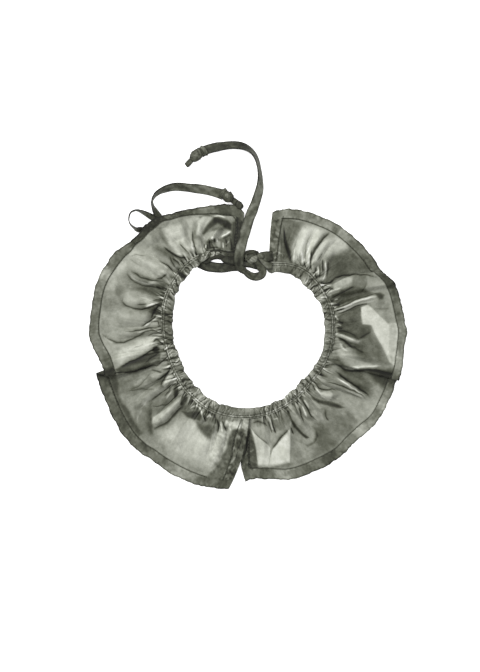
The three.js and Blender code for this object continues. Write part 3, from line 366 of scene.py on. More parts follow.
    (.43, 1.2, .1, (17.6,115.5), (27.7,115.5), (27.7,106.3), (27.7,71), (16.8,71)),
    (.4, 1.6, .03, (27.7,107.9), (35.3,107.5), (43.7,105), (43.7,101.2), (41.2,96.2), (38.6,89.5), (37,81.1),
     (36.1,70.1), (27.7,70.1)),
    (.25, .9, .02, (30.7,97), (32.8,88.6), (35.7,79.4), (37.4,70.1), (35.3,71), (32.3,79.4), (30.7,87.8)),
    (.82, 2, .01, (43.7,98.7), (48.7,102.1), (58.8,100.8), (66.4,98.7), (67.2,96.2), (63,92), (58,86.9), (54.6,81.9),
     (52.9,76), (51.2,71), (47,68.5), (43.7,70.1), (40.3,71), (37.8,71.8), (37.8,81.1), (40.3,89.5), (42,95.3)),
    (.75, 2.2, .01, (69.7,90.3), (73.9,92), (79.8,88.6), (84,84.4), (84.8,81.1), (77.3,78.5), (70.6,76), (63.8,73.5),
     (60.5,71), (56.3,70.1), (53.8,71), (57.1,79.4), (61.3,85.3), (65.5,89.5)),
    (.37, 2.4, .03, (84.8,82.7), (90.7,77.7), (97.4,71), (102.5,64.3), (104.2,60.9), (94.1,60.9), (84,60.1),
     (77.3,58.4), (72.2,56.7), (67.2,55), (64.7,59.2), (67.2,68.5), (68,74.3), (77.3,76.9), (84,79.8)),
    (.33, 3, .02, (73.9,72.7), (83.2,74.3), (85.7,65.9), (79.8,60.9), (72.2,62.6)),
    (.67, 1, .02, (71.4,51.7), (74.8,55.4), (80.6,57.5), (88.2,58.4), (87.4,54.2), (80.6,50.8), (75.6,47.9),
     (72.2,47.5)),
    (.46, 1.5, .02, (88.2,58.4), (99.1,58.8), (100.8,55.9), (99.1,49.1), (94.1,50), (87.4,51.7)),
    (.6, 2, .02, (100.8,56.7), (107.5,56.7), (113.4,54.6), (116.8,49.1), (119.3,42.4), (120.1,35.7), (115.9,37.4),
     (114.2,42.4), (110.9,46.6), (105.8,50), (101.6,52.5)),
    (.33, 1.3, .02, (69.7,44.1), (75.6,46.2), (81.5,48.3), (87.4,50.8), (94.1,50), (100,47.5), (105.8,44.9),
     (100.8,42.8), (89.9,39.5), (81.5,36.1), (76.4,34), (73.9,38.2), (77.3,41.6), (70.6,39.9)),
    (.57, 2, .03, (104.2,37.4), (110.9,35.7), (117.6,36.5), (121,32.3), (121.8,18.9), (114.2,24.8), (109.2,28.1),
     (105,32.3)),
    (.27, 1.3, .01, (106.7,44.5), (110.9,45.4), (113.8,43.3), (113.4,40.3), (110.5,39.5), (108.8,41.6)),
    (.6, 2.5, .03, (110.9,32.3), (121,30.7), (123.5,23.9), (123.5,18.1), (114.2,22.3), (109.2,29)),
    (.36, 1.3, .03, (73.9,24.8), (82.3,29.4), (90.7,33.2), (94.9,34), (95.8,19.7), (97.4,18.1), (102.5,17.2),
     (103.7,13.9), (99.1,10.1), (92.4,7.1), (85.7,11.3), (77.3,15.5), (73.9,19.7)),
    (.82, .6, .01, (94.9,32.8), (100.8,35.3), (104.2,32.3), (109.2,27.3), (112.1,24.8), (118.4,18.5), (125.2,18.5),
     (125.2,1.3), (123.9,-8.8), (122.6,-15.5), (118.4,-13), (115.9,-6.7), (110.9,2.9), (106.7,11.3), (103.7,18.1),
     (96.6,18.9), (95.3,26.5)),
    (.73, .7, .01, (118.9,19.7), (126,19.7), (126,1.3), (125.2,-8.8), (122.6,-16.4), (119.7,-13.9), (118.4,-2.9)),
    (.34, 2, .02, (77.3,8), (84,4.6), (92.4,2.5), (99.1,4.6), (104.2,.4), (105.8,-8.8), (99.1,-10.5), (92.4,-7.1),
     (85.7,-2.1), (80.6,3.4)),
    (.42, 2, .03, (99.1,11.3), (103.3,13.9), (107.1,7.1), (111.3,-1.3), (115.5,-8.8), (118.4,-14.7), (109.2,-14.7),
     (102.5,-10.5), (99.1,-2.9), (97.4,3.8)),
    (.66, 1, .02, (73.9,12.6), (80.6,10.9), (87.4,8), (93.7,5), (92.4,2.5), (85.7,4.2), (79,7.1), (73.9,9.2)),
    (.6, 2, .03, (76.4,3.8), (79.8,2.5), (84,-2.5), (86.5,-7.1), (92.4,-11.3), (99.1,-13.9), (97.4,-17.6),
     (89,-18.5), (84,-15.1), (79,-9.7), (76.4,-4.6)),
    (.7, 1.6, .02, (76.9,-2.9), (80.6,-4.6), (83.2,-9.7), (79.8,-9.7), (77.3,-7.1)),
    (.33, 1.6, .03, (72.2,-10.5), (78.1,-11.3), (83.2,-16.4), (79.8,-17.2), (74.8,-13.9), (72.2,-14.7)),
    (.23, 3, .01, (94.1,-20.6), (104.2,-20.2), (114.2,-20.2), (125.2,-20.6), (131,-24.8), (126.8,-33.2),
     (120.1,-35.7), (114.2,-33.6), (108.4,-29.8), (101.6,-24.8)),
    (.43, 2, .02, (87.4,-21), (94.1,-22.7), (100,-25.6), (105.8,-29), (110,-33.2), (110,-38.2), (105.8,-44.9),
     (103.3,-44.1), (101.6,-40.7), (96.6,-35.7), (89.9,-31.5), (83.2,-28.1), (77.3,-23.9), (73.9,-20.2)),
    (.55, 2, .02, (99.1,-26.5), (105.8,-29), (112.6,-33.2), (113.4,-39.1), (110,-45.8), (106.7,-48.3), (105,-43.3),
     (105.8,-36.5), (103.3,-31.5)),
    (.58, 3, .03, (68.9,-33.2), (79,-35.7), (89,-39.9), (99.1,-45.8), (105.8,-49.1), (108.4,-51.7), (104.2,-56.7),
     (99.1,-61.7), (94.1,-65.1), (85.7,-61.7), (81.5,-55), (75.6,-49.1), (72.2,-43.3), (71.4,-36.5)),
    (.68, 2, .02, (97.4,-46.6), (103.3,-46.6), (109.2,-46.6), (108.4,-51.7), (102.5,-58.4), (98.3,-58.4),
     (97.4,-52.5)),
    (.6, 1, .02, (59.6,-31.5), (67.2,-30.7), (73.9,-33.2), (72.2,-35.7), (64.7,-36.1), (60.5,-35.3)),
    (.77, .9, .01, (60.5,-39.1), (63.8,-37.4), (68.9,-37.4), (71,-39.9), (69.7,-43.7), (67.2,-45.4), (63.8,-43.7),
     (61.3,-42)),
    (.47, 3, .03, (62.2,-52.5), (72.2,-52.5), (82.3,-54.2), (90.7,-65.9), (85.7,-73.5), (77.3,-78.5), (67.2,-81.9),
     (60.5,-71.8), (64.7,-61.7)),
    (.55, 2, .02, (68.9,-52.9), (80.6,-53.3), (82.3,-56.7), (75.6,-57.5), (69.7,-56.7)),
    (.22, 1.3, .02, (52.9,-41.6), (58,-44.1), (63.8,-46.2), (70.6,-47), (76.4,-48.7), (80.6,-51.2), (75.6,-51.2),
     (69.7,-50.4), (64.7,-49.6), (58.8,-47.5), (54.6,-44.5)),
    (.63, 1, .02, (50.8,-44.1), (54.6,-44.9), (58.8,-48.3), (61.3,-52.1), (55.4,-52.1), (52.1,-49.1)),
    (.67, .9, .02, (52.9,-55.9), (58,-54.2), (62.2,-56.7), (63.4,-60.9), (58.8,-62.2), (54.6,-59.6)),
    (.62, 2, .02, (36.1,-45.8), (43.7,-46.6), (46.2,-53.3), (47,-61.7), (43.7,-67.6), (39.5,-62.6), (37,-55)),
    (.6, 2, .02, (45.4,-65.1), (51.2,-68.5), (56.3,-69.3), (58,-75.2), (55.4,-81.9), (48.7,-81.9), (46.2,-79.4),
     (49.6,-75.2), (46.2,-70.1)),
    (.55, 2, .04, (35.3,-71.8), (43.7,-76), (47,-81.1), (55.4,-83.6), (57.1,-88.6), (52.1,-94.5), (43.7,-97.9),
     (35.7,-98.7)),
    (.32, 2, .02, (55.4,-67.6), (61.3,-70.1), (65.5,-76.9), (63,-83.6), (57.1,-85.3), (59.2,-78.5), (57.1,-72.7)),
    (.42, 2.6, .03, (57.1,-85.3), (65.5,-78.5), (75.6,-79.4), (77.3,-83.6), (65.5,-90.3), (55.4,-93.7)),
    (.58, 1, .03, (3.4,-68.5), (11.8,-67.2), (17.6,-64.7), (22.7,-65.9), (29.4,-61.3), (34.4,-59.2), (35.3,-68.5),
     (30.2,-73.5), (24.4,-80.2), (19.7,-86.9), (16.8,-82.3), (10.9,-77.3)),
    (.65, 1.5, .02, (5,-68.5), (13.4,-67.6), (16.8,-73.5), (16,-80.2), (10.1,-76)),
    (.46, 1.5, .03, (20.2,-59.2), (30.2,-56.7), (33.6,-63.4), (30.2,-70.1), (24.4,-70.1), (21.8,-65.1)),
    (.2, .8, .01, (32.6,-54.2), (34.4,-54.2), (37,-60.9), (41.2,-67.2), (46.2,-72.7), (51.2,-76.4), (48.7,-77.3),
     (43.3,-72.7), (38.2,-67.6), (34.9,-61.3)),
    (.81, .6, .01, (2.9,-69.3), (5.9,-73.1), (11.8,-78.1), (16.8,-82.7), (18.9,-85.3), (18.5,-93.7), (17.2,-100.8),
     (11.8,-102.1), (8.4,-100.4), (7.1,-92.8), (6.3,-85.3), (4.2,-76.9)),
    (.84, .6, .01, (35.3,-68.9), (35.3,-98.3), (29.4,-99.1), (22.7,-100.8), (17.6,-101.6), (18.1,-93.7), (21,-86.5),
     (26,-80.2), (31.1,-74.3)),
    (.46, 1.6, .04, (8.4,-100.8), (16.8,-101.2), (26.9,-100), (36.1,-98.3), (36.1,-102.9), (8.4,-103.3)),
    (.31, 1, .08, (-.8,-68.5), (2.5,-70.1), (4.2,-78.5), (5.9,-86.9), (7.1,-95.3), (8.4,-102.1), (6.7,-112.1),
     (-4.2,-113.8), (-6.7,-98.7), (-2.5,-82.7)),
    (.36, 2.4, .02, (58,-65.1), (63,-64.3), (66.4,-71), (65.5,-79.4), (61.3,-85.3), (57.1,-81.1), (58.8,-72.7)),
    (.63, 1.4, .02, (52.9,-54.2), (58,-52.5), (62.2,-55.9), (61.3,-60.9), (57.1,-60.9), (53.8,-57.5)),
    (.31, 1.5, .03, (74.8,16.4), (85.7,17.6), (95.8,17.6), (103.3,16.8), (103.3,13), (98.3,7.1), (92.4,5.5), (84,8),
     (76.4,11.3)),
]
# Creases painted dark as shade and ridges painted pale as light: tone added, reach to the left and to the right of
# the line, then the line (x, y).
CREASES = [
    # left ruffle
    (-.12, .5, .5, (-99.1,76), (-92.4,76.9), (-85.7,76)),
    (-.1, .5, .5, (-99.1,73.5), (-94.1,70.1), (-89.9,67.6)),
    (-.08, 2, 2, (-75.6,97.9), (-70.6,91.1), (-67.2,84.4)),
    (-.09, 1.6, 1.6, (-110,60.9), (-108.4,51.7), (-108.4,43.3), (-106.7,36.5)),
    (-.07, 1.2, 1.2, (-114.2,54.2), (-110.9,50.8), (-110,42.4)),
    (-.38, 1, 1.3, (-71.4,84.4), (-66.4,80.2), (-61.3,76.9), (-56.3,74.8), (-50.4,75.2)),
    (.1, .8, .8, (-65.5,81.5), (-60.5,78.5), (-54.6,76.9)),
    (-.3, .6, .7, (-57.5,86.9), (-53.8,82.7), (-50.4,79.4), (-48.7,76)),
    (-.3, .6, .7, (-75.6,72.7), (-70.6,70.1), (-66.4,67.6), (-63.8,64.3), (-61.3,60.9)),
    (.12, .8, .8, (-75.6,71), (-70.6,68), (-66.8,65.1)),
    (-.25, .6, .6, (-65.5,76), (-63.8,71), (-60.5,65.9)),
    (-.3, .7, .7, (-63.8,74.3), (-58.8,71), (-56.3,66.8)),
    (.16, .6, .6, (-62.2,75.2), (-58,72.2), (-54.6,68.5)),
    (-.24, .6, .6, (-56.3,73.5), (-53.8,70.1), (-52.1,71)),
    (-.26, .8, .8, (-100.8,63.8), (-101.6,60.9), (-99.1,57.1), (-94.9,54.2), (-89,51.7), (-82.3,50.8), (-75.6,49.6)),
    (.22, .8, .8, (-100,60.5), (-96.6,57.1), (-90.7,54.2), (-84,52.8), (-76.4,53.7)),
    (-.32, .7, .8, (-99.1,63), (-94.1,60.9), (-89,57.5), (-82.3,55.9), (-75.6,54.6), (-69.7,55)),
    (-.32, .9, .9, (-78.1,56.3), (-73.9,57.1), (-70.6,59.6), (-67.2,61.3)),
    (.14, .6, .6, (-84,54.2), (-77.3,54.6), (-72.2,53.8)),
    (-.26, .7, .8, (-77.3,51.2), (-73.1,49.1), (-69.7,48.3)),
    (-.3, .8, 1.3, (-105,42.4), (-105.4,37.4), (-102.5,34.4), (-96.6,32.3), (-89.9,31.5), (-83.2,32.8), (-77.3,35.3),
     (-72.2,37.4)),
    (.3, .7, .7, (-86.5,33.3), (-80.6,35.5), (-73.9,36.9)),
    (-.24, .6, .6, (-94.1,35.4), (-89,35.5), (-84,36)),
    (-.22, .8, .8, (-80.6,38.2), (-76.4,39.1), (-72.2,38.6)),
    (.1, .8, .8, (-92.4,41.6), (-85.7,39.9), (-79,37.8)),
    (-.34, .8, 1, (-73.9,35.7), (-77.3,31.5), (-80.6,26.5), (-81.5,23.5)),
    (-.32, .7, .7, (-76.4,28.1), (-79,23.9), (-83.2,20.6), (-89.9,16.4)),
    (.26, .8, .8, (-75.6,25.6), (-79.8,21.8), (-84.8,18.1), (-88.2,16)),
    (-.28, .6, .6, (-84,18.1), (-80.6,21), (-75.6,21.8), (-74.3,17.2), (-79,15.5)),
    (-.32, .8, .7, (-104.2,13), (-95.8,12.6), (-89,14.3), (-82.3,15.7), (-75.6,15.5)),
    (.14, .8, .8, (-93.2,11.3), (-87.4,13.4), (-80.6,14.7)),
    (-.26, .7, .7, (-91.6,10.5), (-85.7,13), (-80.6,13.4), (-75.6,13.4)),
    (-.22, .6, .6, (-84.8,8.8), (-79.8,11.3), (-74.8,11.8)),
    (-.3, .8, 1.1, (-123.9,11.3), (-117.6,6.3), (-110.9,3.4), (-104.2,3.8), (-97.4,6.3), (-90.7,9.7), (-84.8,12.6)),
    (.12, 1, 1, (-121,8.4), (-116.8,4.6), (-112.6,2.1)),
    (-.13, .5, .5, (-97.4,-2.1), (-91.6,.2), (-86.9,2.5)),
    (.2, .7, .7, (-81.5,4.6), (-77.3,8), (-73.1,6.3), (-70.6,3.8)),
    (-.36, .7, .7, (-80.2,2.9), (-77.3,6), (-73.9,4.1), (-71.4,1.3)),
    (.14, .6, .6, (-81.5,.4), (-79.8,2.9), (-76.4,2.1), (-74.8,-1.3)),
    (-.38, .5, 1.6, (-109.2,-17.6), (-101.6,-14.3), (-94.1,-10.5), (-87.4,-7.1), (-82.3,-4.2), (-78.1,-2.1),
     (-75.2,1.7)),
    (-.16, .6, .6, (-73.9,-4.6), (-77.3,-7.1), (-82.3,-10.5), (-87.4,-14.7)),
    (-.4, .8, .8, (-117.6,-21.8), (-103.3,-21.7), (-93.2,-20.2), (-84.8,-17.2), (-79,-15.5), (-73.1,-16.4)),
    (-.26, .7, .7, (-81.5,-19.7), (-76.4,-20.6), (-71.4,-22.7)),
    (-.4, .8, .8, (-64.7,-18.5), (-69.3,-23.9), (-73.9,-27.3), (-78.1,-28.6)),
    (-.28, .6, .6, (-73.1,-34.9), (-72.2,-30.7), (-68.9,-24.8), (-65.1,-19.3)),
    (-.13, .5, .5, (-100,-36.5), (-92.4,-33.6), (-85.7,-27.3), (-81.5,-21.8)),
    (-.15, .6, .6, (-101.6,-37.8), (-90.7,-35.7), (-82.3,-35.7), (-75.6,-35.7)),
    (.08, 1.4, 1.4, (-98.3,-33.2), (-90.7,-29), (-84,-24.8)),
    (-.28, .7, .7, (-83.2,-46.2), (-76.4,-41.6), (-69.7,-37), (-64.7,-32.8), (-62.2,-30.2)),
    (.11, .9, .9, (-84,-44.1), (-89,-51.7), (-92.4,-59.2), (-94.1,-65.9)),
    (-.09, .8, .8, (-84.8,-46.6), (-89.9,-53.3), (-93.2,-60.9)),
    (-.3, .6, .6, (-60.5,-29.8), (-63.8,-33.2), (-66.8,-37.4)),
    (.32, .6, .6, (-65.5,-35.7), (-63.8,-32.3), (-61.3,-30.3), (-58.4,-31.9)),
    (-.2, .6, .6, (-69.7,-42.4), (-67.2,-39.1), (-64.7,-36.5)),
    (.18, .6, .6, (-68.9,-44.1), (-65.9,-40.7), (-63.8,-37.4)),
    (-.26, 1.3, 3.2, (-81.9,-46.6), (-81.5,-53.3), (-81.5,-61.7), (-81.5,-70.1), (-79,-76.9)),
    (-.26, .6, .6, (-81.5,-50.4), (-75.6,-50), (-69.7,-49.1), (-66.4,-47.5)),
    (-.24, .6, .6, (-68.9,-49.1), (-64.7,-45.8), (-59.6,-40.7), (-56.3,-37.4)),
    (.2, .6, .6, (-57.1,-44.1), (-54.6,-39.5), (-52.1,-37.8)),
    (-.3, 1.9, .9, (-53.8,-49.1), (-58,-53.3), (-62.2,-57.5), (-67.2,-62.6), (-72.2,-65.9), (-78.1,-68.5),
     (-81.1,-66.8)),
    (.3, .6, .6, (-50.4,-53.8), (-47,-50.8), (-43.7,-49.6), (-40.7,-51.7), (-38.6,-55.9), (-37.3,-60.9),
     (-36.5,-64.3)),
    (-.36, .7, .7, (-38.2,-55), (-37,-60.1), (-35.3,-63.8)),
    (.3, .8, .8, (-34.9,-60.1), (-32.3,-58.2), (-30.2,-60.1)),
    (-.3, .7, .7, (-29.4,-55.9), (-26.9,-60.1), (-27.7,-65.9)),
    (-.28, .7, .7, (-35.3,-55), (-32.3,-55.5), (-29,-58.4)),
    (-.4, .9, .9, (-26,-60.1), (-24.8,-66.8), (-25.6,-73.1)),
    (-.44, .9, 1, (-21.8,-61.7), (-20.2,-67.2), (-17.8,-71.8)),
    (.2, .8, .8, (-23.5,-61.7), (-22.3,-67.6), (-21.3,-72.7)),
    (-.32, .6, .6, (-3.4,-60.5), (-5,-65.1), (-6.3,-69.7)),
    (-.2, .6, .6, (-12.2,-60.9), (-13.4,-64.3)),
    (-.12, 1.6, 1.6, (-13.9,-71), (-15.1,-78.5), (-18.5,-86.9), (-23.5,-95.3), (-28.6,-102.9)),
    (.22, .6, .6, (-14.3,-90.3), (-11.8,-86.5), (-10.9,-82.7)),
    (.2, .6, .6, (-16,-98.7), (-12.6,-95.3), (-10.1,-92)),
    (.22, .6, .6, (-20.6,-107.9), (-16.8,-103.7), (-14.3,-99.5)),
    (.18, .6, .6, (-8.4,-79.4), (-6.7,-75.2)),
    (.16, .6, .6, (-9.2,-88.6), (-6.7,-85.3)),
    (-.16, .7, .7, (-3.4,-71.8), (-5.9,-80.2), (-9.2,-90.3), (-11.8,-98.7)),
    # left ruffle, the bunched corner
    (-.36, .7, .8, (-46.2,97.9), (-46,89.5), (-45.4,84.4), (-42.8,80.6)),
    (.16, .8, .8, (-47.5,89.5), (-47.2,83.6), (-44.9,80.2)),
    (-.08, 1.4, 1, (-42.3,105.4), (-43.3,99.5), (-44.5,93.7)),
    (.06, .8, .8, (-40.7,104.6), (-41.3,99.5), (-41.7,95.3)),
    (-.16, .6, .6, (-41.6,107.9), (-37.8,109.8), (-32.8,110), (-29.4,108.8)),
    (.34, .5, .5, (-30.2,112.6), (-24.4,112.6), (-18.1,112.1)),
    (.36, .6, .5, (-29.4,109.5), (-24.4,109.8), (-18.5,108.9)),
    (-.2, .5, .5, (-31.1,111.1), (-24.4,111.1), (-16.8,110.6), (-10.9,109.6), (-8,106.7)),
    (.3, .6, .6, (-22.7,91.6), (-20.6,93), (-17.2,95), (-14.3,97.4)),
    (-.12, .6, .6, (-21.8,90.3), (-17.6,92), (-14.3,94.9)),
    (-.34, .5, .5, (-32.5,90.7), (-32.3,86.9), (-31.9,82.3)),
    (-.34, .5, .5, (-28.1,91.3), (-28.4,87.4)),
    (-.3, .5, .5, (-34.1,86.6), (-34.1,81.5)),
    (-.3, .5, .5, (-36.8,86.4), (-37.3,81.5)),
    (.34, .6, .6, (-35.4,85.8), (-36.1,82.2)),
    (.26, .6, .6, (-30.2,89.5), (-29.4,92.1)),
    (.26, .5, .5, (-26.2,91.3), (-26,87.3)),
    (.28, .6, .6, (-21.3,88.1), (-20.8,82.4)),
    (.22, .6, .6, (-19,85.1), (-15.6,88.8)),
    (-.22, .7, .7, (-19.3,89.9), (-17.6,86.5), (-18.5,83.6)),
    (-.22, .7, .7, (-23.9,82.9), (-30.2,83.1), (-33.6,81.9)),
    (-.2, .6, .6, (-14.8,91.1), (-13.9,84.4), (-14.6,80.2)),
    (.2, .6, .6, (-14.3,113.8), (-11.8,110.1)),
    (-.36, .7, .7, (-9.1,108.8), (-9.6,96.2), (-10.8,86.9), (-11.4,76)),
    # right ruffle
    (-.36, .7, .9, (30.2,101.2), (30.6,93.7), (31.2,87.8), (33.1,81.9), (35.3,76), (36.5,70.1)),
    (-.1, .7, .7, (28.4,71), (28.1,89.5), (27.7,101.2)),
    (.26, .5, .5, (20.2,77.7), (23.9,80.2), (28.6,78), (30.7,74.3)),
    (.22, .5, .5, (21.4,73.1), (24.4,75.6), (26.5,79.4)),
    (-.2, .6, .6, (21.8,97.9), (24.4,92.4), (26.9,90.3)),
    (.16, .5, .5, (21,89.5), (25.2,90.6)),
    (.14, .5, .5, (26,86.9), (26.3,71)),
    (-.18, .7, .7, (23.5,104.6), (26,106.7)),
    (-.16, .6, .6, (29.7,73.5), (30.7,77.3)),
    (-.24, .5, .6, (53.1,94.9), (50.8,90.3), (48.7,85.3), (47.9,80.2), (48.7,74.3), (49.2,69.3)),
    (.12, .9, .9, (52.4,90.3), (50.4,84.4), (49.9,76.9)),
    (-.26, .5, .5, (43.7,79.4), (43.7,71), (45.4,66.8)),
    (.2, .6, .6, (39.1,82.7), (38.6,76), (38.6,70.1)),
    (.2, .6, .6, (51.7,78.5), (51.7,72.7), (51.7,66.8)),
    (.16, .6, .6, (45,80.2), (45.7,74.3), (46.5,67.6)),
    (-.42, .8, .8, (46.9,72.7), (48,68.5), (49.4,65.1)),
    (-.38, .6, .7, (53.3,81.1), (52.6,74.3), (52.6,67.6), (54.1,63.4)),
    (.18, .6, .6, (51.7,80.2), (51.1,74.3), (50.7,67.6)),
    (.14, .6, .6, (55.1,74.3), (54.3,69.3), (54.9,65.1)),
    (-.14, .6, .6, (41.7,76.9), (42.3,71)),
    (-.32, .7, 2.3, (69.3,97), (64.7,92), (60.5,86.9), (56.7,81.9), (54.2,76.9), (52.8,71.8)),
    (.08, .9, .9, (66.4,89.5), (61.3,84.8), (57.5,79.4), (55.4,75.2)),
    (-.22, .6, .6, (62.2,79), (60.1,75.2), (58,71.8)),
    (-.28, .6, .6, (57.5,67.6), (56.4,62.6), (57,56.7)),
    (.22, .6, .6, (59,67.6), (59,58.4)),
    (-.24, .6, .6, (60.8,71), (60.3,64.3), (59.5,55.9)),
    (-.34, .9, .8, (62.5,73.8), (62.7,68.5), (62.3,61.7)),
    (.3, .6, .7, (64.8,72.7), (65.2,65.9), (64.3,59.2), (62.2,54.6)),
    (-.16, .6, .6, (67,72.7), (67,64.3), (66.2,56.7)),
    (-.34, .9, .9, (60.5,54.6), (64.7,52.5), (68.9,53.3), (72.7,56.7)),
    (.24, .6, .6, (62.2,49.1), (67.2,50.5), (71.4,52.5)),
    (-.26, .7, .7, (63.8,46.6), (68.9,48.6), (73.1,47.5)),
    (-.34, .7, .7, (69.7,54.6), (73.9,57.9), (79.8,59.6), (89.9,60.4), (99.1,60.1), (109.2,58)),
    (-.16, .5, .5, (100,55.9), (98.3,50.8), (95.3,45.4)),
    (-.26, .6, .6, (90.7,51.7), (83.2,47.5), (75.6,43.8), (69.7,40.3)),
    (.22, .6, .6, (63.8,43.7), (71.4,47.1), (79.8,49.6)),
    (.16, .6, .6, (65.5,41.6), (72.2,44.6), (78.1,47)),
    (-.24, .6, .8, (110.9,44.2), (106.7,44), (99.1,41.7), (90.7,39.1), (82.3,35.4), (74.8,32.3)),
    (.32, 1, .9, (110,42.4), (104.2,41.1), (95.8,39.4), (87.4,36.2), (79.8,33.3), (72.2,30.8)),
    (-.38, .6, .6, (81.5,32.8), (77.3,31.2), (73.9,30.2)),
    (.22, .8, .8, (105.8,38.2), (100,37.5), (94.1,36.4), (87.4,33.9), (79.8,30.5), (73.1,28.3)),
    (-.28, .7, .7, (104.2,33.2), (99.1,35.9), (94.1,35), (85.7,31.7), (77.3,27.8), (73.1,26)),
    (-.1, .9, .9, (105,32.3), (110.9,31.5), (119.3,31.5)),
    (-.3, .6, .6, (71.4,36.5), (74.8,35.2), (77.3,34)),
    (.3, .6, .6, (70.6,34.5), (74.4,32.8)),
    (.26, .6, .6, (72.2,39.1), (76.4,39.4)),
    (.34, .6, .6, (73.1,26), (75.9,21.8)),
    (-.32, .6, .6, (75.3,21.1), (80.2,19.2)),
    (.28, .6, .6, (74.3,19.2), (78.5,17.2)),
    (-.28, .6, .6, (74.3,16), (79.8,15)),
    (-.16, .8, .8, (74.8,13.9), (80.6,12.9), (87.4,10), (92.4,7.1)),
    (.18, .7, .7, (74.8,11), (79.8,9.2), (85.7,6.3), (90.7,4.3)),
    (-.36, .9, .8, (74.8,8.1), (79.8,5.8), (84.8,1.6), (89,-2.4)),
    (-.18, 1.2, 1.2, (87.4,.4), (92.4,-2.9), (97.4,-6.3)),
    (.18, .7, .7, (76.9,3.8), (79.8,-1.3), (84.5,-4.6)),
    (-.2, .6, .6, (79.8,2.1), (82.7,-1.8)),
    (.22, 1.2, .7, (85.7,-16), (92.4,-17.7), (100.8,-16.7), (112.6,-16.5)),
    (-.12, 1, 1, (104.2,13), (99.1,9.7), (93.2,7.1)),
    (-.42, .7, 1.6, (69.7,-15.5), (73.9,-14.2), (77.3,-16.4), (82.3,-19.1), (87.4,-20.1), (94.1,-19.6), (102.5,-19.1),
     (110.9,-20.6), (119.3,-22.8), (129.4,-27.3)),
    (-.4, 1.6, .8, (72.2,-20.2), (77.3,-24.4), (84,-29.5), (90.7,-33.7), (96.6,-37.7), (100.8,-41.2), (103.7,-44.8)),
    (.28, .8, .8, (73.1,-24.8), (79.8,-29.8), (86.5,-34.5), (93.2,-38.7), (99.5,-42.8)),
    (-.32, .6, .6, (63.8,-29.8), (72.2,-30.7), (79,-33.2), (87.4,-36.7), (94.9,-40.6), (100.4,-45.3)),
    (.16, .7, .7, (80.6,-35.4), (89.9,-39.6), (98.3,-44.1)),
    (-.14, .6, .6, (82.3,-37.4), (90.7,-41.1), (95.8,-44.1)),
    (-.28, .7, .7, (56.3,-30.7), (59.3,-35.7), (63.8,-36.7), (70.6,-35.7), (74.8,-37.7)),
    (.26, .6, .6, (55.4,-33.2), (58.8,-37.7), (61.7,-40.7)),
    (-.3, .7, .7, (53.8,-32.3), (57.1,-37.4)),
    (-.38, .7, .7, (45.4,-43.7), (47.9,-49.1), (50.4,-53.3), (52.9,-58.4), (58.4,-62.4)),
    (.22, .6, .6, (47,-44.1), (49.6,-49.1), (51.7,-52.8)),
    (-.34, .7, .7, (42.8,-50), (44.5,-56.7), (47,-64.7)),
    (.24, .7, .7, (45,-49.1), (47.5,-55), (50.1,-60.1)),
    (-.34, .7, .7, (40.7,-44.9), (42,-49.1)),
    (-.26, .8, .8, (64.7,-52.5), (65.5,-58.4), (67.7,-63.4)),
    (-.12, 1.8, 1.8, (81.5,-53.3), (87.4,-60.1), (92.4,-65.9)),
    (-.16, 1.2, 1.2, (46.2,-81.1), (50.4,-83.2), (55.4,-81.1), (58.3,-75.2), (57.1,-70.1)),
    (-.38, .7, .7, (36.1,-67.6), (38.5,-74)),
    (.18, .7, .7, (34.1,-55), (36.1,-61.7), (35.8,-67.6)),
    (-.26, .5, 1.2, (35.1,-68.3), (30.2,-73.8), (24.4,-80.6), (19.8,-87.3)),
    (-.13, .5, .5, (4.2,-71.5), (10.9,-77.2), (17.3,-82.7)),
    (-.42, .8, .8, (19.2,-60.9), (21.3,-66.8), (24,-73)),
    (.24, .6, .6, (18.1,-60.1), (19.7,-65.9), (21.8,-71)),
    (-.3, .6, .6, (16.8,-62.6), (18.8,-68.5), (20.2,-73)),
    (-.24, 1, 1, (2.5,-65.1), (8.4,-63.1), (14.3,-65.1), (16.8,-68.1)),
    (.24, .6, .6, (21,-61.4), (26,-60.1)),
    (-.08, .5, .5, (19.3,-86.9), (18.8,-92.8), (18,-99.5)),
    (-.34, .8, .8, (1.7,-69.3), (-.5,-76.9), (-1.3,-86.9), (-4.2,-95.3)),
    (-.18, .7, .7, (.8,-78.5), (.5,-92), (.8,-102.1)),
    (.2, .6, .6, (1.7,-88.6), (5,-86.1)),
    (.18, .6, .6, (-2.5,-92), (.8,-88.6)),
    (.16, .6, .6, (-.8,-98.7), (1.7,-94.5)),
    (-.16, 1.6, .8, (2.9,-71), (4.5,-78.5), (6.2,-86.9), (7.4,-95.3), (8.7,-102.1)),
]

# ---- Small helpers ----
def smooth(t):
    """A soft step: 0 up to 0, 1 from 1."""
    t = np.clip(t, 0, 1)
    return t * t * (3 - 2 * t)


def bell(off, width):
    """1 in the middle, falling off smoothly to both sides."""
    return np.exp(-((off / width) ** 2))


def along(t, key, value, at):
    """A smooth curve through a table's rows, never past the rows on either side."""
    x, y, at = t[key], t[value], np.asarray(at, float)
    k = np.clip(np.searchsorted(x, at) - 1, 0, len(x) - 2)
    d = np.diff(y) / np.diff(x)
    m = np.zeros(len(x))
    both = d[:-1] * d[1:]
    m[1:-1] = np.where(both > 0, 2 * both / np.where(both > 0, d[:-1] + d[1:], 1), 0)
    w = x[k + 1] - x[k]
    u = np.clip((at - x[k]) / w, 0, 1)
    v = 1 - u
    return y[k] * v * v * (1 + 2 * u) + y[k + 1] * u * u * (3 - 2 * u) + w * u * v * (v * m[k] - u * m[k + 1])


def through(a, b, c, v):
    """The parabola that is a at 0, b halfway and c at 1."""
    return a * (1 - v) * (1 - 2 * v) + 4 * b * v * (1 - v) + c * v * (2 * v - 1)


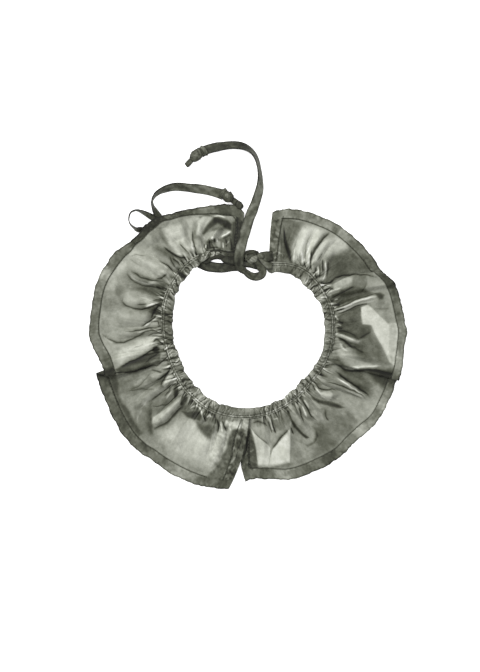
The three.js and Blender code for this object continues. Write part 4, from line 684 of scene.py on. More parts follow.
def lattice(x, y, seed):
    """Soft uneven values from -1 to 1, about one rise a unit."""
    grid = np.random.default_rng(seed).uniform(-1, 1, (LATTICE_CELLS, LATTICE_CELLS))
    xi, yi = np.floor(x).astype(int), np.floor(y).astype(int)
    fx, fy = smooth(x - xi), smooth(y - yi)
    pick = lambda i, j: grid[(xi + i) % LATTICE_CELLS, (yi + j) % LATTICE_CELLS]
    return (pick(0, 0) * (1 - fx) + pick(1, 0) * fx) * (1 - fy) + (pick(0, 1) * (1 - fx) + pick(1, 1) * fx) * fy


def unevenness(x, seed):
    """Soft uneven values along one direction alone."""
    return lattice(x, x * 0, seed)


def run_of(lengths):
    """How far along a line each of its points is, from the lengths between them."""
    return np.concatenate([[0], np.cumsum(lengths)])


def place(at, r):
    return NECK[0] + r * np.cos(np.radians(at)), NECK[1] + r * np.sin(np.radians(at))


def corners_of(points):
    return np.array([place(a, r) for a, r in points])


def outer_edge(at):
    """How far out the casing reaches."""
    return along(RING, "at", "seam", at) + CASING["seam"]


def gather_phase(at):
    """The number of the gather at an angle. Whole numbers are the dips, which are unevenly spaced."""
    n = (at - GATHERS["first"]) / (GATHERS["last"] - GATHERS["first"]) * GATHERS["count"]
    return n + .3 * np.sin(n * 1.7) + .24 * np.sin(n * .61 + 2) + .12 * np.sin(n * 3.1 + 1)


def gather_wave(at):
    return .5 - .5 * np.cos(2 * np.pi * gather_phase(at))


def lift_at(x, y):
    """How far the collar is raised where it rides over the drawstring."""
    high = np.zeros_like(x)
    for i in range(len(LIFTS["x0"])):
        l = {k: v[i] for k, v in LIFTS.items()}
        dx, dy = l["x1"] - l["x0"], l["y1"] - l["y0"]
        t = np.clip(((x - l["x0"]) * dx + (y - l["y0"]) * dy) / (dx * dx + dy * dy), 0, 1)
        d = np.hypot(x - l["x0"] - t * dx, y - l["y0"] - t * dy)
        high = np.maximum(high, l["high"] * smooth(1 - (d - l["half"]) / l["ramp"]))
    return high


def folds_at(folds, at, r):
    """The height of the large folds, each rising soon after its start and sinking slowly to its end."""
    rise, sink = .2, .45  # as shares of a fold's length
    high = np.zeros_like(r)
    for i in range(len(folds["neck"])):
        f = {k: v[i] for k, v in folds.items()}
        s = (r - f["from"]) / (f["to"] - f["from"])
        off = np.radians(at - through(f["neck"], f["mid"], f["far"], s)) * r / f["wide"]
        on = (s > 0) & (s < 1) & (np.abs(off) < 1)
        ridge = f["high"] * (1 - np.minimum(off * off, 1)) ** 2 * smooth(s / rise) * smooth((1 - s) / sink)
        high += np.where(on, ridge, 0)
    return high


def to_line(x, y, corners):
    """Distance from each point to a line, the side it is on (left is +1) and how far along it is, from 0 to 1."""
    best, side, share, run = np.full(x.shape, 1e9), np.zeros(x.shape), np.zeros(x.shape), 0
    lengths = np.hypot(*np.diff(corners, axis=0).T)
    for (ax, ay), (bx, by), long in zip(corners[:-1], corners[1:], lengths):
        dx, dy = bx - ax, by - ay
        t = np.clip(((x - ax) * dx + (y - ay) * dy) / (long * long), 0, 1)
        d = np.hypot(x - ax - t * dx, y - ay - t * dy)
        near = d < best
        best = np.where(near, d, best)
        side = np.where(near, np.sign(dx * (y - ay) - dy * (x - ax)), side)
        share = np.where(near, (run + t * long) / lengths.sum(), share)
        run += long
    return best, side, share


def inside(x, y, corners):
    hit = np.zeros(x.shape, bool)
    for (ax, ay), (bx, by) in zip(corners, np.roll(corners, -1, axis=0)):
        if ay != by:
            hit ^= ((ay > y) != (by > y)) & (x < (bx - ax) * (y - ay) / (by - ay) + ax)
    return hit


def close_to(x, y, corners, margin):
    """Which points lie in the box round the corners, widened by a margin."""
    (x0, y0), (x1, y1) = corners.min(axis=0) - margin, corners.max(axis=0) + margin
    return (x > x0) & (x < x1) & (y > y0) & (y < y1)


def cloth_tone(x, y):
    """Tone and extra height of a ruffle's cloth where it lies at x, y, from the patches and the creases, with their
    painted light and shade.
    """
    tone, high = np.full(x.shape, BARE_TONE), np.zeros(x.shape)
    speck = .6 * lattice((x + .5 * y) / 1.6, y / 1.6, 5) + .7 * lattice((x - y) / 4.4, (x + y) / 3.2, 6)
    wander = [2.4 * lattice(x / 11, y / 11, n) + .35 * lattice(x / 3.4, y / 3.4, n + 2) for n in (7, 8)]
    bend = [.45 * lattice(x / 4.5, y / 4.5, n) for n in (51, 52)]
    for value, soft, rough, *points in PATCHES:
        c = np.array(points)
        soft = soft * 1.6 if soft > 1.5 else soft
        on = close_to(x, y, c, soft + 3)
        if not on.any():
            continue
        # soft edges wander, and crisp ones keep to their corners
        k = min(soft / 3, 1) ** 1.5
        px, py = x[on] + wander[0][on] * k, y[on] + wander[1][on] * k
        d = to_line(px, py, np.vstack([c, c[:1]]))[0] * np.where(inside(px, py, c), 1, -1)
        cover = smooth(.5 + d / (2 * soft))
        tone[on] += cover * (value + rough * speck[on] - tone[on])
    for value, left, right, *points in CREASES:
        c = np.array(points)
        on = close_to(x, y, c, 4 * max(left, right))
        if not on.any():
            continue
        d, side, share = to_line(x[on] + bend[0][on], y[on] + bend[1][on], c)
        reach = d / (np.where(side > 0, left, right) * (.72 + .42 * np.sin(np.pi * share)))
        # a narrow crease has a sharp middle in a faint wide shadow, and a broad one is soft
        narrow = min(left, right) <= NARROW_CREASE
        line = 1.15 * bell(reach, .62) + .36 * bell(reach, 1.9) if narrow else bell(reach, 1)
        fade = line * smooth(np.minimum(share + .03, 1.03 - share) / .26)
        tone[on] += value * fade * (.92 + .3 * wander[1][on] / 2.4)
        high[on] += CREASE_HEIGHT * value * fade
    return tone, high


# ---- Meshes ----
def new_piece(name, points, faces, material, uv, tone):
    """A mesh object at the origin from points in millimetres, each with its place on the cloth and its tone."""
    mesh = bpy.data.meshes.new(name)
    mesh.from_pydata((np.asarray(points) * MM).tolist(), [], faces)
    mesh.attributes.new("tone", "FLOAT", "POINT").data.foreach_set("value", np.asarray(tone, np.float32).ravel())
    corner = np.empty(len(mesh.loops), np.int32)
    mesh.loops.foreach_get("vertex_index", corner)
    mesh.uv_layers.new(name="cloth").data.foreach_set("uv", np.asarray(uv, np.float32)[corner].ravel())
    mesh.materials.append(material)
    mesh.shade_smooth()
    mesh.validate()
    return add_object(name, mesh)


def signed_volume(points, quads):
    """Comes out positive where the faces point outwards."""
    t = points[quads]
    return (np.einsum("ij,ij->", t[:, 0], np.cross(t[:, 1], t[:, 2]))
            + np.einsum("ij,ij->", t[:, 0], np.cross(t[:, 2], t[:, 3])))


def wall(mid, thick):
    """Closed wall round a grid of middle points, with thick[j, i] at each."""
    rows, cols = mid.shape[:2]
    u, v = np.gradient(mid, axis=1), np.gradient(mid, axis=0)
    n = np.cross(v, u)
    n /= np.linalg.norm(n, axis=2, keepdims=True) + 1e-9
    n *= np.where(n[..., 2:].mean() < 0, -1, 1)
    top, low = mid + n * thick[..., None] / 2, mid - n * thick[..., None] / 2
    low[..., 2] = np.maximum(low[..., 2], LOWEST["wall"])
    ids = np.arange(rows * cols).reshape(rows, cols)
    a, b, c, d = ids[:-1, :-1].ravel(), ids[:-1, 1:].ravel(), ids[1:, 1:].ravel(), ids[1:, :-1].ravel()
    up, under = np.stack([a, d, c, b], 1), rows * cols
    down = np.stack([a, b, c, d], 1) + under
    rim = np.concatenate([ids[0, :], ids[1:, -1], ids[-1, -2::-1], ids[-2:0:-1, 0]])
    after = np.roll(rim, -1)
    side = np.stack([rim, after, after + under, rim + under], 1)
    points = np.concatenate([top.reshape(-1, 3), low.reshape(-1, 3)])
    faces = np.concatenate([up, down, side])
    if signed_volume(points, faces) < 0:
        faces = faces[:, ::-1]
    return points, faces.tolist()


def tube(rings):
    """Closed tube through rings[k, i] of points, with a fan of faces round a hub over each end."""
    count, around = rings.shape[:2]
    ids = np.arange(count * around).reshape(count, around)
    after = np.roll(ids, -1, axis=1)
    quads = np.stack([ids[:-1], after[:-1], after[1:], ids[1:]], 2).reshape(-1, 4)
    points = np.concatenate([rings.reshape(-1, 3), rings[[0, -1]].mean(axis=1)])
    hub = count * around
    fans = [[hub, b, a] for a, b in zip(ids[0], after[0])] + [[hub + 1, a, b] for a, b in zip(ids[-1], after[-1])]
    faces = quads.tolist() + fans
    if signed_volume(points, quads) < 0:
        faces = [f[::-1] for f in faces]
    return points, faces


def tube_map(across, lengthwise):
    """Where on the cloth each point of a tube is, with the two hubs last."""
    uv = np.stack(np.broadcast_arrays(across, lengthwise), 2).reshape(-1, 2)
    return np.concatenate([uv, np.zeros((2, 2))])


def tube_tone(tone):
    """The tone of each point of a tube, with the two hubs last."""
    return np.concatenate([tone.ravel(), tone[[0, -1]].mean(axis=1)])


# ---- Materials ----
def linear(value):
    """Display value to linear light."""
    return value / 12.92 if value <= .04045 else ((value + .055) / 1.055) ** 2.4


def group(name, inputs, outputs):
    tree = bpy.data.node_groups.new(name, "ShaderNodeTree")
    for label, kind, value in inputs:
        socket = tree.interface.new_socket(label, in_out="INPUT", socket_type="NodeSocket" + kind)
        if value is not None:
            socket.default_value = value
    for label, kind in outputs:
        tree.interface.new_socket(label, in_out="OUTPUT", socket_type="NodeSocket" + kind)
    return tree, tree.nodes.new("NodeGroupInput"), tree.nodes.new("NodeGroupOutput")


def node(tree, kind, links=(), **settings):
    """A shader node. Each of its inputs is linked to a socket or set to a value."""
    made = tree.nodes.new("ShaderNode" + kind)
    for key, value in settings.items():
        setattr(made, key, value)
    for socket, value in dict(links).items():
        if isinstance(value, bpy.types.NodeSocket):
            tree.links.new(value, made.inputs[socket])
        else:
            made.inputs[socket].default_value = value
    return made


def maths(tree, operation, a, b=0.0, c=0.0):
    return node(tree, "Math", {0: a, 1: b, 2: c}, operation=operation).outputs[0]


def noise(tree, where, scale, detail, rough=.5, bend=0.0):
    values = {"Vector": where, "Scale": scale, "Detail": detail, "Roughness": rough, "Distortion": bend}
    return node(tree, "TexNoise", values).outputs[0]


def dye_and_shade_group():
    """Garment dye and painted shade: the cloth's tone, painted light and shade included, clouded, as a colour from
    deep olive grey to pale grey green.
    """
    inputs = [("Place", "Vector", None), ("Tone", "Float", .5), ("Cloud", "Float", .04),
              ("Cloud size", "Float", 90.0), ("Grain", "Float", .02)]
    tree, come, go = group("garment dye and painted shade", inputs, [("Color", "Color"), ("Roughness", "Float")])
    broad = noise(tree, come.outputs["Place"], come.outputs["Cloud size"], 4.0, .6, .4)
    fine = noise(tree, come.outputs["Place"], 900.0, 2.0)
    tone = come.outputs["Tone"]
    for uneven, strength in ((broad, "Cloud"), (fine, "Grain")):
        tone = maths(tree, "MULTIPLY_ADD", maths(tree, "SUBTRACT", uneven, .5),
                     maths(tree, "MULTIPLY", come.outputs[strength], 3.0), tone)
    ramp = node(tree, "ValToRGB", {"Fac": tone})
    while len(ramp.color_ramp.elements) < len(DYE_AND_SHADE_COLOURS):
        ramp.color_ramp.elements.new(.5)
    for stop, (at, colour) in zip(ramp.color_ramp.elements, DYE_AND_SHADE_COLOURS):
        stop.position = at
        stop.color = [linear(c / 255) / GAIN for c in colour] + [1]
    # pale cloth is a little smoother than dark cloth
    rough = node(tree, "MapRange", {"Value": tone, "From Min": .2, "From Max": .8, "To Min": .62, "To Max": .5})
    tree.links.new(ramp.outputs["Color"], go.inputs["Color"])
    tree.links.new(rough.outputs[0], go.inputs["Roughness"])
    return tree


def weave_group():
    """Plain weave with slubs, as a height: threads run along both ways of the cloth's own map, in millimetres."""
    tree, come, go = group("plain weave", [("Map", "Vector", None), ("Threads per mm", "Float", 2.4),
                                           ("Slub", "Float", .5)], [("Height", "Float")])
    size = node(tree, "VectorMath", {0: come.outputs["Map"]}, operation="SCALE")
    tree.links.new(come.outputs["Threads per mm"], size.inputs["Scale"])
    parts = node(tree, "SeparateXYZ", {0: size.outputs[0]})
    warp, weft = [maths(tree, "SINE", maths(tree, "MULTIPLY", parts.outputs[axis], 2 * math.pi)) for axis in "XY"]
    slub = noise(tree, come.outputs["Map"], .8, 3.0, .7)
    height = maths(tree, "MULTIPLY_ADD", maths(tree, "MULTIPLY", warp, weft), .25,
                   maths(tree, "MULTIPLY", slub, come.outputs["Slub"]))
    tree.links.new(height, go.inputs["Height"])
    return tree


def crinkle_group():
    """Small creases of washed cloth, as a height, stretched along the folds by the cloth's own map."""
    tree, come, go = group("washed crinkle", [("Map", "Vector", None), ("Across per mm", "Float", .45),
                                              ("Along per mm", "Float", .12)], [("Height", "Float")])
    ways = {"X": come.outputs["Across per mm"], "Y": come.outputs["Along per mm"], "Z": 1.0}
    stretch = node(tree, "CombineXYZ", ways)
    size = node(tree, "VectorMath", {0: come.outputs["Map"], 1: stretch.outputs[0]}, operation="MULTIPLY")
    ridges = noise(tree, size.outputs[0], 1.0, 5.0, .62, .8)
    sharp = maths(tree, "ABSOLUTE", maths(tree, "SUBTRACT", ridges, .5))
    tree.links.new(maths(tree, "SUBTRACT", 1.0, maths(tree, "MULTIPLY", sharp, 2.0)), go.inputs["Height"])
    return tree


DYE_AND_SHADE, WEAVE, CRINKLE = dye_and_shade_group(), weave_group(), crinkle_group()


def cloth_material(name, cloud, cloud_size, grain, threads=2.4, across=.45, lengthwise=.12, crinkle=.5, sheen=.06,
                   tone=None):
    """Dyed cloth. Its tone, the dye with painted light and shade, comes from the mesh, point by point, unless one is
    given.
    """
    material = bpy.data.materials.new(name)
    material.use_nodes = True
    tree = material.node_tree
    shader = tree.nodes["Principled BSDF"]
    spot = node(tree, "TexCoord").outputs["Object"]
    cloth_map = node(tree, "UVMap", uv_map="cloth").outputs["UV"]
    if tone is None:
        tone = node(tree, "Attribute", attribute_name="tone").outputs["Fac"]
    dye = node(tree, "Group", node_tree=DYE_AND_SHADE)
    weave = node(tree, "Group", node_tree=WEAVE)
    folds = node(tree, "Group", node_tree=CRINKLE)
    tree.links.new(spot, dye.inputs["Place"])
    if isinstance(tone, bpy.types.NodeSocket):
        tree.links.new(tone, dye.inputs["Tone"])
    else:
        dye.inputs["Tone"].default_value = tone
    for key, value in (("Cloud", cloud), ("Cloud size", cloud_size), ("Grain", grain)):
        dye.inputs[key].default_value = value
    tree.links.new(cloth_map, weave.inputs["Map"])
    tree.links.new(cloth_map, folds.inputs["Map"])
    weave.inputs["Threads per mm"].default_value = threads
    folds.inputs["Across per mm"].default_value = across
    folds.inputs["Along per mm"].default_value = lengthwise
    big = node(tree, "Bump", {"Height": folds.outputs["Height"], "Strength": crinkle, "Distance": .0006})
    small = node(tree, "Bump", {"Height": weave.outputs["Height"], "Strength": .25, "Distance": .0001,
                                "Normal": big.outputs["Normal"]})
    tree.links.new(small.outputs["Normal"], shader.inputs["Normal"])
    tree.links.new(dye.outputs["Color"], shader.inputs["Base Color"])
    tree.links.new(dye.outputs["Roughness"], shader.inputs["Roughness"])
    for key, value in (("Sheen Weight", sheen), ("Sheen Roughness", .4), ("Specular IOR Level", .28)):
        shader.inputs[key].default_value = value
    return material


# The ruffles, casing and tape take their tone from the mesh, and it carries painted light and shade as well as the
# dye.
ruffle_cloth = cloth_material("dyed ruffle cloth with painted shade", cloud=.035, cloud_size=110.0, grain=.035, crinkle=.26)
casing_cloth = cloth_material("dyed casing cloth with painted shade", cloud=.05, cloud_size=140.0, grain=.03, across=.5, lengthwise=.3)
tie_cloth = cloth_material("dyed drawstring tape with painted shade", cloud=.06, cloud_size=110.0, grain=.03, across=.5)
thread = cloth_material("sewing thread", cloud=.1, cloud_size=400.0, grain=.05, threads=3.0, crinkle=.1, sheen=.1,
                        tone=.27)


# ---- Ruffles ----
def ruffle_grid(ribs):
    """Places on a strip in rows from the neck to the outer edge, close together beside the line of stitching."""
    t = dict(ribs)
    t["upNeck"] = np.where(t["upNeck"] > 0, t["upNeck"], .45 * t["up"])
    moved = np.abs(np.diff(t["hem"])) + .3 * np.abs(np.diff(t["neck"])) + 1.2 * np.abs(np.diff(t["up"]))
    t["s"] = run_of(moved + .05)
    s = np.linspace(0, t["s"][-1], int(t["s"][-1] / RIB_STEP) + 1)
    g = SimpleNamespace(**{key: along(t, "s", key, s) for key in ribs})
    g.start = outer_edge(g.neck) - UNDER_CASING
    g.depth = g.reach - g.start
    g.wide = along(HEM, "at", "wide", g.hem)
    down = np.linspace(0, 1, CLOTH_ROWS) ** 1.1
    g.share = np.concatenate([down[:, None] * (1 - (g.wide + 1.6) / g.depth),
                              1 - (g.wide + STITCH_ROWS[:, None]) / g.depth,
                              1 - HEM_ROWS[:, None] * g.wide / g.depth])
    g.r = g.start + g.depth * g.share
    g.at = through(g.neck, g.mid, g.hem, g.share)
    g.out = g.r - g.start
    g.deep = along(RING, "at", "gathered", g.neck)
    g.levels = g.up + (g.upHem - g.up) * smooth((g.share - .55) / .4)
    g.in_hem = smooth((g.share - (1 - g.wide / g.depth)) * g.depth / .7 + .3)
    # the outer edge is a little uneven, as a washed hem is
    rag = .4 * unevenness(g.at * 1.05, 11) + .34 * unevenness(g.at * .42, 12)
    g.x, g.y = place(g.at, g.r + rag * smooth((g.share - .93) / .07))
    g.u = np.broadcast_to(run_of(np.hypot(np.diff(g.x[STITCHED_ROW]), np.diff(g.y[STITCHED_ROW]))), g.r.shape)
    return g


def gathers(g):
    """Gathers that fade out from the neck, each at its own length."""
    phase = gather_phase(g.neck)
    long = 6.5 + 5 * lattice(np.round(phase) * .9, np.round(phase) * 0 + .5, 3)
    near = smooth(1 - g.out / np.maximum(long + 3, 6))
    close = smooth(1 - g.out / GATHERS["reach"])
    wave = gather_wave(g.neck + .8 * lattice(g.at * .35, g.r / 9, 21) * smooth(g.out / 8))
    g.streak = lattice(g.at * 1.15 + .5 * lattice(g.at * .3, g.r / 10, 22), g.r / 11, 23)
    fine = lattice(g.at * 2.1, g.r / 9, 24)
    g.high = GATHERS["high"] * g.deep * wave * near + .35 * g.deep * close * g.streak
    dip = (1 - wave) ** 2.2
    seam_shadow = .1 * smooth(1 - g.out / 3.0)
    # painted shade in the dips of the gathers, a little painted light on their ridges and a painted shadow beside the
    # seam, with uneven streaks and the tone shift round the neck
    g.tone += (g.deep * (near * (.06 * wave - .26 * dip) + close * (.05 * g.streak + .075 * fine) - seam_shadow)
               + close * np.interp(g.at, NECK_TONE_SHIFT["at"], NECK_TONE_SHIFT["tone"]))
    # short blocky puffs where the cloth goes into the seam, painted paler where they rise and darker where they sink,
    # as light and shade
    puffs = lattice(g.at * .62 + .4 * lattice(g.at * .4, g.r / 4, 56), g.r / 2.6, 55)
    g.tone += .11 * puffs * g.deep * smooth(1 - g.out / 8)
    g.high += .35 * puffs * g.deep * smooth(1 - g.out / 8)


def gather_creases(g):
    """Sharp creases that run out from the gathers along the cloth, each painted dark as shade with a painted
    highlight on its lit side.
    """
    draw = np.random.default_rng(71)
    tone, high = np.zeros(g.r.shape), np.zeros(g.r.shape)
    spacing, columns = .52, 60  # in gathers, and how many columns each may reach to either side
    for n in np.arange(0, GATHERS["count"], spacing):
        spot, long, drift, width, depth, lit = draw.uniform((-.6, .5, -.36, .36, .2, -1),
                                                            (.6, 10, .36, .8, .66, 1))
        if n % 5 < spacing:  # now and then a long faint one
            long, depth = long + 14, depth * .55
        base = GATHERS["first"] + (n + spot) * (GATHERS["last"] - GATHERS["first"]) / GATHERS["count"]
        if not g.neck.min() < base < g.neck.max():
            continue
        col = int(np.argmin(np.abs(g.neck - base)))
        if g.deep[col] < .2:
            continue
        depth, long = depth * g.deep[col], 4 + long * draw.uniform(.4, 1)
        off = np.radians(g.at - g.at[:, [col]]) * g.r - drift * g.out - .5 * np.sin(g.out / draw.uniform(3, 6) + n)
        near = np.abs(np.arange(len(g.neck)) - col) < columns
        fade = smooth(1 - g.out / long) ** .7 * near
        width = width * (.8 + g.out / 40)
        beside = off - np.sign(lit) * 1.5 * width
        tone += fade * depth * (.66 * bell(beside, 1.1 * width) - bell(off, width))
        high += fade * depth * (bell(beside, 1.2 * width) - 1.2 * bell(off, width))
    g.tone += tone
    g.high += high


def outer_hem(g):
    """The turned hem: darker, puckered by its stitching, its puckers painted paler where they rise, with painted
    shade where its edge turns away and where a pleat lies over it. Gives the tone of the row of stitching, with
    painted highlights beside it.
    """
    hem_tone = along(HEM_TONE, "at", "tone", g.at) - np.interp(g.at, HEM_DARKENING["at"], HEM_DARKENING["darker"])
    g.pucker = lattice(g.u / 3.4, g.r / 9, 31) * (.5 + .8 * np.abs(unevenness(g.u / 21, 32)))
    cloudy = lattice(g.u / 9, g.r / 30, 38) + .5 * lattice(g.u / 3.6, g.r / 3.2, 34)
    specks = .7 * lattice(g.x / 1.3, g.y / 1.3, 33) + .6 * np.maximum(lattice(g.u / 1.6, g.r / 1.6, 39), 0)
    broad = lattice(g.u / 20, g.r / 40, 57)
    hem_tone = hem_tone + .05 * g.pucker + .11 * cloudy + .06 * broad + .07 * specks
    g.tone = g.tone + g.in_hem * (hem_tone - g.tone)
    off = g.out - g.depth * (1 - g.wide / g.depth)
    beyond = off - g.wide
    # the last of the edge turns away and is painted dark as shade, with a pale uneven line inside it
    pale_line = .3 + unevenness(g.u / 1.6, 46)
    g.tone += -.2 * smooth((beyond + 1.6) / 1.4) + .1 * bell(beyond + 1.7, .8) * pale_line
    # the left pleat's hem is in shade where its layers lie over each other
    in_pleat = smooth((g.levels - 1.3) / .3) * smooth((g.at - 190.4) / 3) * (g.at < 200) * (g.at > 188)
    g.tone -= .12 * g.in_hem * in_pleat
    # painted highlights on both sides of the row of stitching, which is dark with thread and painted shade in its
    # groove
    lit = .07 * bell(off - 1.1, .6) * (.7 + unevenness(g.u / 1.5, 40))
    return .05 * bell(off + 1.2, .7) - .25 * bell(off - .1, .38) - .035 * bell(off - .1, 1.6) + lit


def end_hems(g, ends):
    """The hems of the two short edges, crumpled, with a dark line where each is stitched. Gives where they are."""
    turned_in = np.zeros(g.x.shape)
    crumple = (.7 * lattice((g.x + g.y) / 3.0, (g.x - g.y) / 4.2, 35) + .5 * lattice(g.x / 1.5, g.y / 1.5, 47)
               + .4 * np.maximum(lattice((g.x - .6 * g.y) / 1.4, g.y / 3, 50), 0))
    for line, hem_side in ends:
        d, side, _ = to_line(g.x, g.y, corners_of(line))
        turned = smooth(side * hem_side * d / .7 + .3)
        turned_in = np.maximum(turned_in, turned)
        g.tone += (1 - g.in_hem) * (-.22 * bell(d, .5) + turned * (.11 * crumple - .01))
    return turned_in


def ruffle(name, ribs, folds, ends):
    """A gathered strip with its hem. Ends are the lines of stitching of its two short edges."""
    g = ruffle_grid(ribs)
    g.tone, raised = cloth_tone(g.x, g.y)
    gathers(g)
    gather_creases(g)
    # broad soft unevenness further out
    broad = lattice(g.at * .22, g.r / 13, 25) + .6 * lattice(g.at * .5, g.r / 22, 26)
    g.tone += (.034 * broad + .034 * lattice((g.x + g.y) / 5, (g.x - g.y) / 7, 27)
               + .03 * lattice(g.x / 2.1, g.y / 2.1, 28) + .024 * lattice(g.x / .9, g.y / .9, 29) - .022)
    stitch_tone = outer_hem(g)
    end_hem = end_hems(g, ends)
    g.tone += stitch_tone * (1 - end_hem)
    hemmed = np.maximum(g.in_hem, end_hem)
    lies = CLOTH["lies"] + CLOTH["hem lies"] * hemmed
    z = (lies + PITCH * (g.upNeck + (g.levels - g.upNeck) * smooth(g.share / .12)) + g.high
         + folds_at(folds, g.at, g.r) + lift_at(g.x, g.y))
    z += (np.clip(raised, *RAISED) * smooth((z - .4) / 1.2)
          + .22 * (g.streak + 1) * smooth(g.out / 6) * smooth((130 - g.r) / 20))
    z += (.1 * g.in_hem * g.pucker + .5 * smooth((g.share - .8) / .2) * (1 + unevenness(g.at / 8, 36))
          + .12 * end_hem * lattice(g.x / 2, g.y / 2, 37))
    thick = CLOTH["thick"] + (CLOTH["hem"] - CLOTH["thick"]) * hemmed
    z = np.maximum(np.maximum(z, CLOTH["lowest"]), thick / 2 + CLOTH["clear"])
    mid = np.stack([g.x, g.y, z], 2)
    points, faces = wall(mid, thick)
    uv = np.stack([g.u, g.r], 2).reshape(-1, 2)
    piece = new_piece(name, points, faces, ruffle_cloth, np.tile(uv, (2, 1)), np.tile(g.tone.ravel(), 2))
    return piece, mid[STITCHED_ROW], thick[STITCHED_ROW]


left, left_row, left_thick = ruffle("ruffle_left_cloth", LEFT_RIBS, LEFT_FOLDS, LEFT_ENDS)
right, right_row, right_thick = ruffle("ruffle_right_cloth", RIGHT_RIBS, RIGHT_FOLDS, RIGHT_ENDS)


# ---- Casing ----
def casing_crinkles(at, a, shape):
    """Short slanting crinkles of the casing: how much painted shade each point gets, and how much painted light on
    one side.
    """
    draw = np.random.default_rng(49)
    dark, lit = np.zeros(shape), np.zeros(shape)
    radius = 65
    for _ in range(CRINKLES):
        spot, middle, tilt, reach, width, depth = draw.uniform((103, .1, -8, .12, .26, .35),
                                                               (434, .95, 8, .44, .55, 1))
        off = np.radians(at - spot - tilt * (a - middle)) * radius
        fade = depth * smooth(1 - np.abs(a - middle) / reach)
        dark = np.maximum(dark, fade * bell(off, width))
        lit = np.maximum(lit, fade * bell(off - 1.5 * width, 1.3 * width))
    return dark, lit


def casing():
    """The gathered tube round the neck: a section at each angle, a across it, u up it and k where gathers show."""
    at = np.arange(CASING["first"], CASING["last"], CASING["step"])[:, None]
    ring = np.arange(len(SECTION["across"]) * 2) / 2
    a, u, k = [np.interp(ring, np.arange(len(v) + 1), np.append(v, v[0]))[None] for v in SECTION.values()]
    deep = along(RING, "at", "gathered", at)
    # the puffs lean one way and then the other, with a narrow dip between two of them
    lean = at + (3.4 * unevenness(at * .09, 45) + 1.6) * (a - .5) * deep + .7 * lattice(at * .5, a * 3, 41)
    phase = gather_phase(lean)
    wave = gather_wave(lean)
    puff = 1 - (1 - wave) ** 2.6
    dip = np.abs(phase - np.round(phase)) * 5.3
    each = np.random.default_rng(48).uniform(.35, 1, 200)[np.round(phase).astype(int) % 200]
    fine = lattice(at * .8 + 2 * a, a * 2.6, 42)
    dark, lit = casing_crinkles(at, a, phase.shape)
    inner, outer = along(RING, "at", "inner", at), outer_edge(at)
    scallop = np.where(a < .5, 1 - 2 * a, 0) * ((.5 - wave) * .6 + lattice(at * .24, a * 2, 53)) * deep
    r = inner + (outer - inner) * a + scallop + np.where(a > .85, .25 * fine, 0)
    low = lift_at(*place(at, (inner + outer) / 2))
    relief = (.4 * (puff - .7) + .16 * fine - .26 * dark + .16 * lit) * deep * k
    z = low + CASING["high"] * u * (1 + relief + .05 * lattice(at * .3, a * 2, 43) * k)
    # both ends are cut on a slant
    slant = 3 * (1 - smooth((at - 101) / 8)) - 5.2 * smooth((at - 426) / 12)
    turned = at + slant * (1 - a) + np.where(at > 432, 4.8, 0) * a * smooth((at - 432) / 4)
    rings = np.stack([*place(turned, r), np.maximum(z, low)], 2)
    some = .45 + .55 * deep
    flat = 1 - .6 * smooth((a - .68) / .12)  # dips and crinkles are weaker on the stitched band
    # painted shade in the narrow dips, painted light on the puffs and beside the dips, and painted shade and light on
    # the crinkles
    shade = .3 * flat * each * bell(dip, .55)
    tone = .44 + deep * (.1 * (puff - .6) - shade + .15 * each * bell(dip - 1.5, .7) + .1 * fine)
    tone += (some * (.46 * lit - .42 * flat * dark) + .14 * lattice(at * .17, a * 1.5, 44)
             + .06 * lattice(at * .9, a * 7, 47) - .01)
    tone += np.interp(at, CASING_TONE_SHIFT["at"], CASING_TONE_SHIFT["tone"])
    # painted shade on both edges, where the casing turns down, the two dark rows of stitching and the painted
    # highlight on the ridge between them
    ridge = .06 + .16 * np.maximum(unevenness(at * .9, 58), 0)
    tone += (-.2 * bell(a - 1.0, .05) - .14 * smooth((.1 - a) / .1) - .24 * bell(a - .85, .03)
             + ridge * bell(a - .77, .04) + .1 * bell(a - .925, .03) - .06 * bell(a - .66, .03))
    # the underside is set dark as painted shade beneath, painted shadow darkens the left end, and the right end is
    # paler
    tone = np.where(u < .2, .3, tone) - .24 * smooth((110 - at) / 7) + .11 * smooth((at - 416) / 8)
    points, faces = tube(rings)
    radius, girth = 66, 18
    uv = tube_map(np.radians(at) * radius, a * girth)
    return new_piece("casing_cloth", points, faces, casing_cloth, uv, np.append(tone.ravel(), [.4, .4]))


casing_piece = casing()


# ---- Drawstring ----
def smooth_path(points, each):
    """The centripetal curve through points, each as many steps as given between two of them."""
    p = np.vstack([2 * points[0] - points[1], points, 2 * points[-1] - points[-2]])
    out = []
    for k in range(len(points) - 1):
        p0, p1, p2, p3 = p[k:k + 4]
        d = [max(np.linalg.norm(b - a) ** .5, 1e-4) for a, b in ((p0, p1), (p1, p2), (p2, p3))]
        m1 = ((p1 - p0) / d[0] - (p2 - p0) / (d[0] + d[1]) + (p2 - p1) / d[1]) * d[1]
        m2 = ((p2 - p1) / d[1] - (p3 - p1) / (d[1] + d[2]) + (p3 - p2) / d[2]) * d[1]
        for t in np.arange(each) / each:
            out.append(p1 * (2 * t ** 3 - 3 * t ** 2 + 1) + m1 * (t ** 3 - 2 * t ** 2 + t)
                       + p2 * (3 * t ** 2 - 2 * t ** 3) + m2 * (t ** 3 - t ** 2))
    out.append(points[-1])
    return np.array(out)


def tilted_across(tangent, lean):
    """The direction of a flat tube's width at each point: level and square to its way, then tipped by the lean."""
    width, across = np.array([1.0, 0, 0]), np.zeros(tangent.shape)
    for k, t in enumerate(tangent):
        level = np.array([-t[1], t[0], 0])
        if np.linalg.norm(level) > .25:
            level /= np.linalg.norm(level)
            width = -level if k and level @ width < 0 else level
        side = width * math.cos(lean[k]) + np.array([0, 0, math.sin(lean[k])])
        side = side - (side @ t) * t
        across[k] = side / np.linalg.norm(side)
    return across


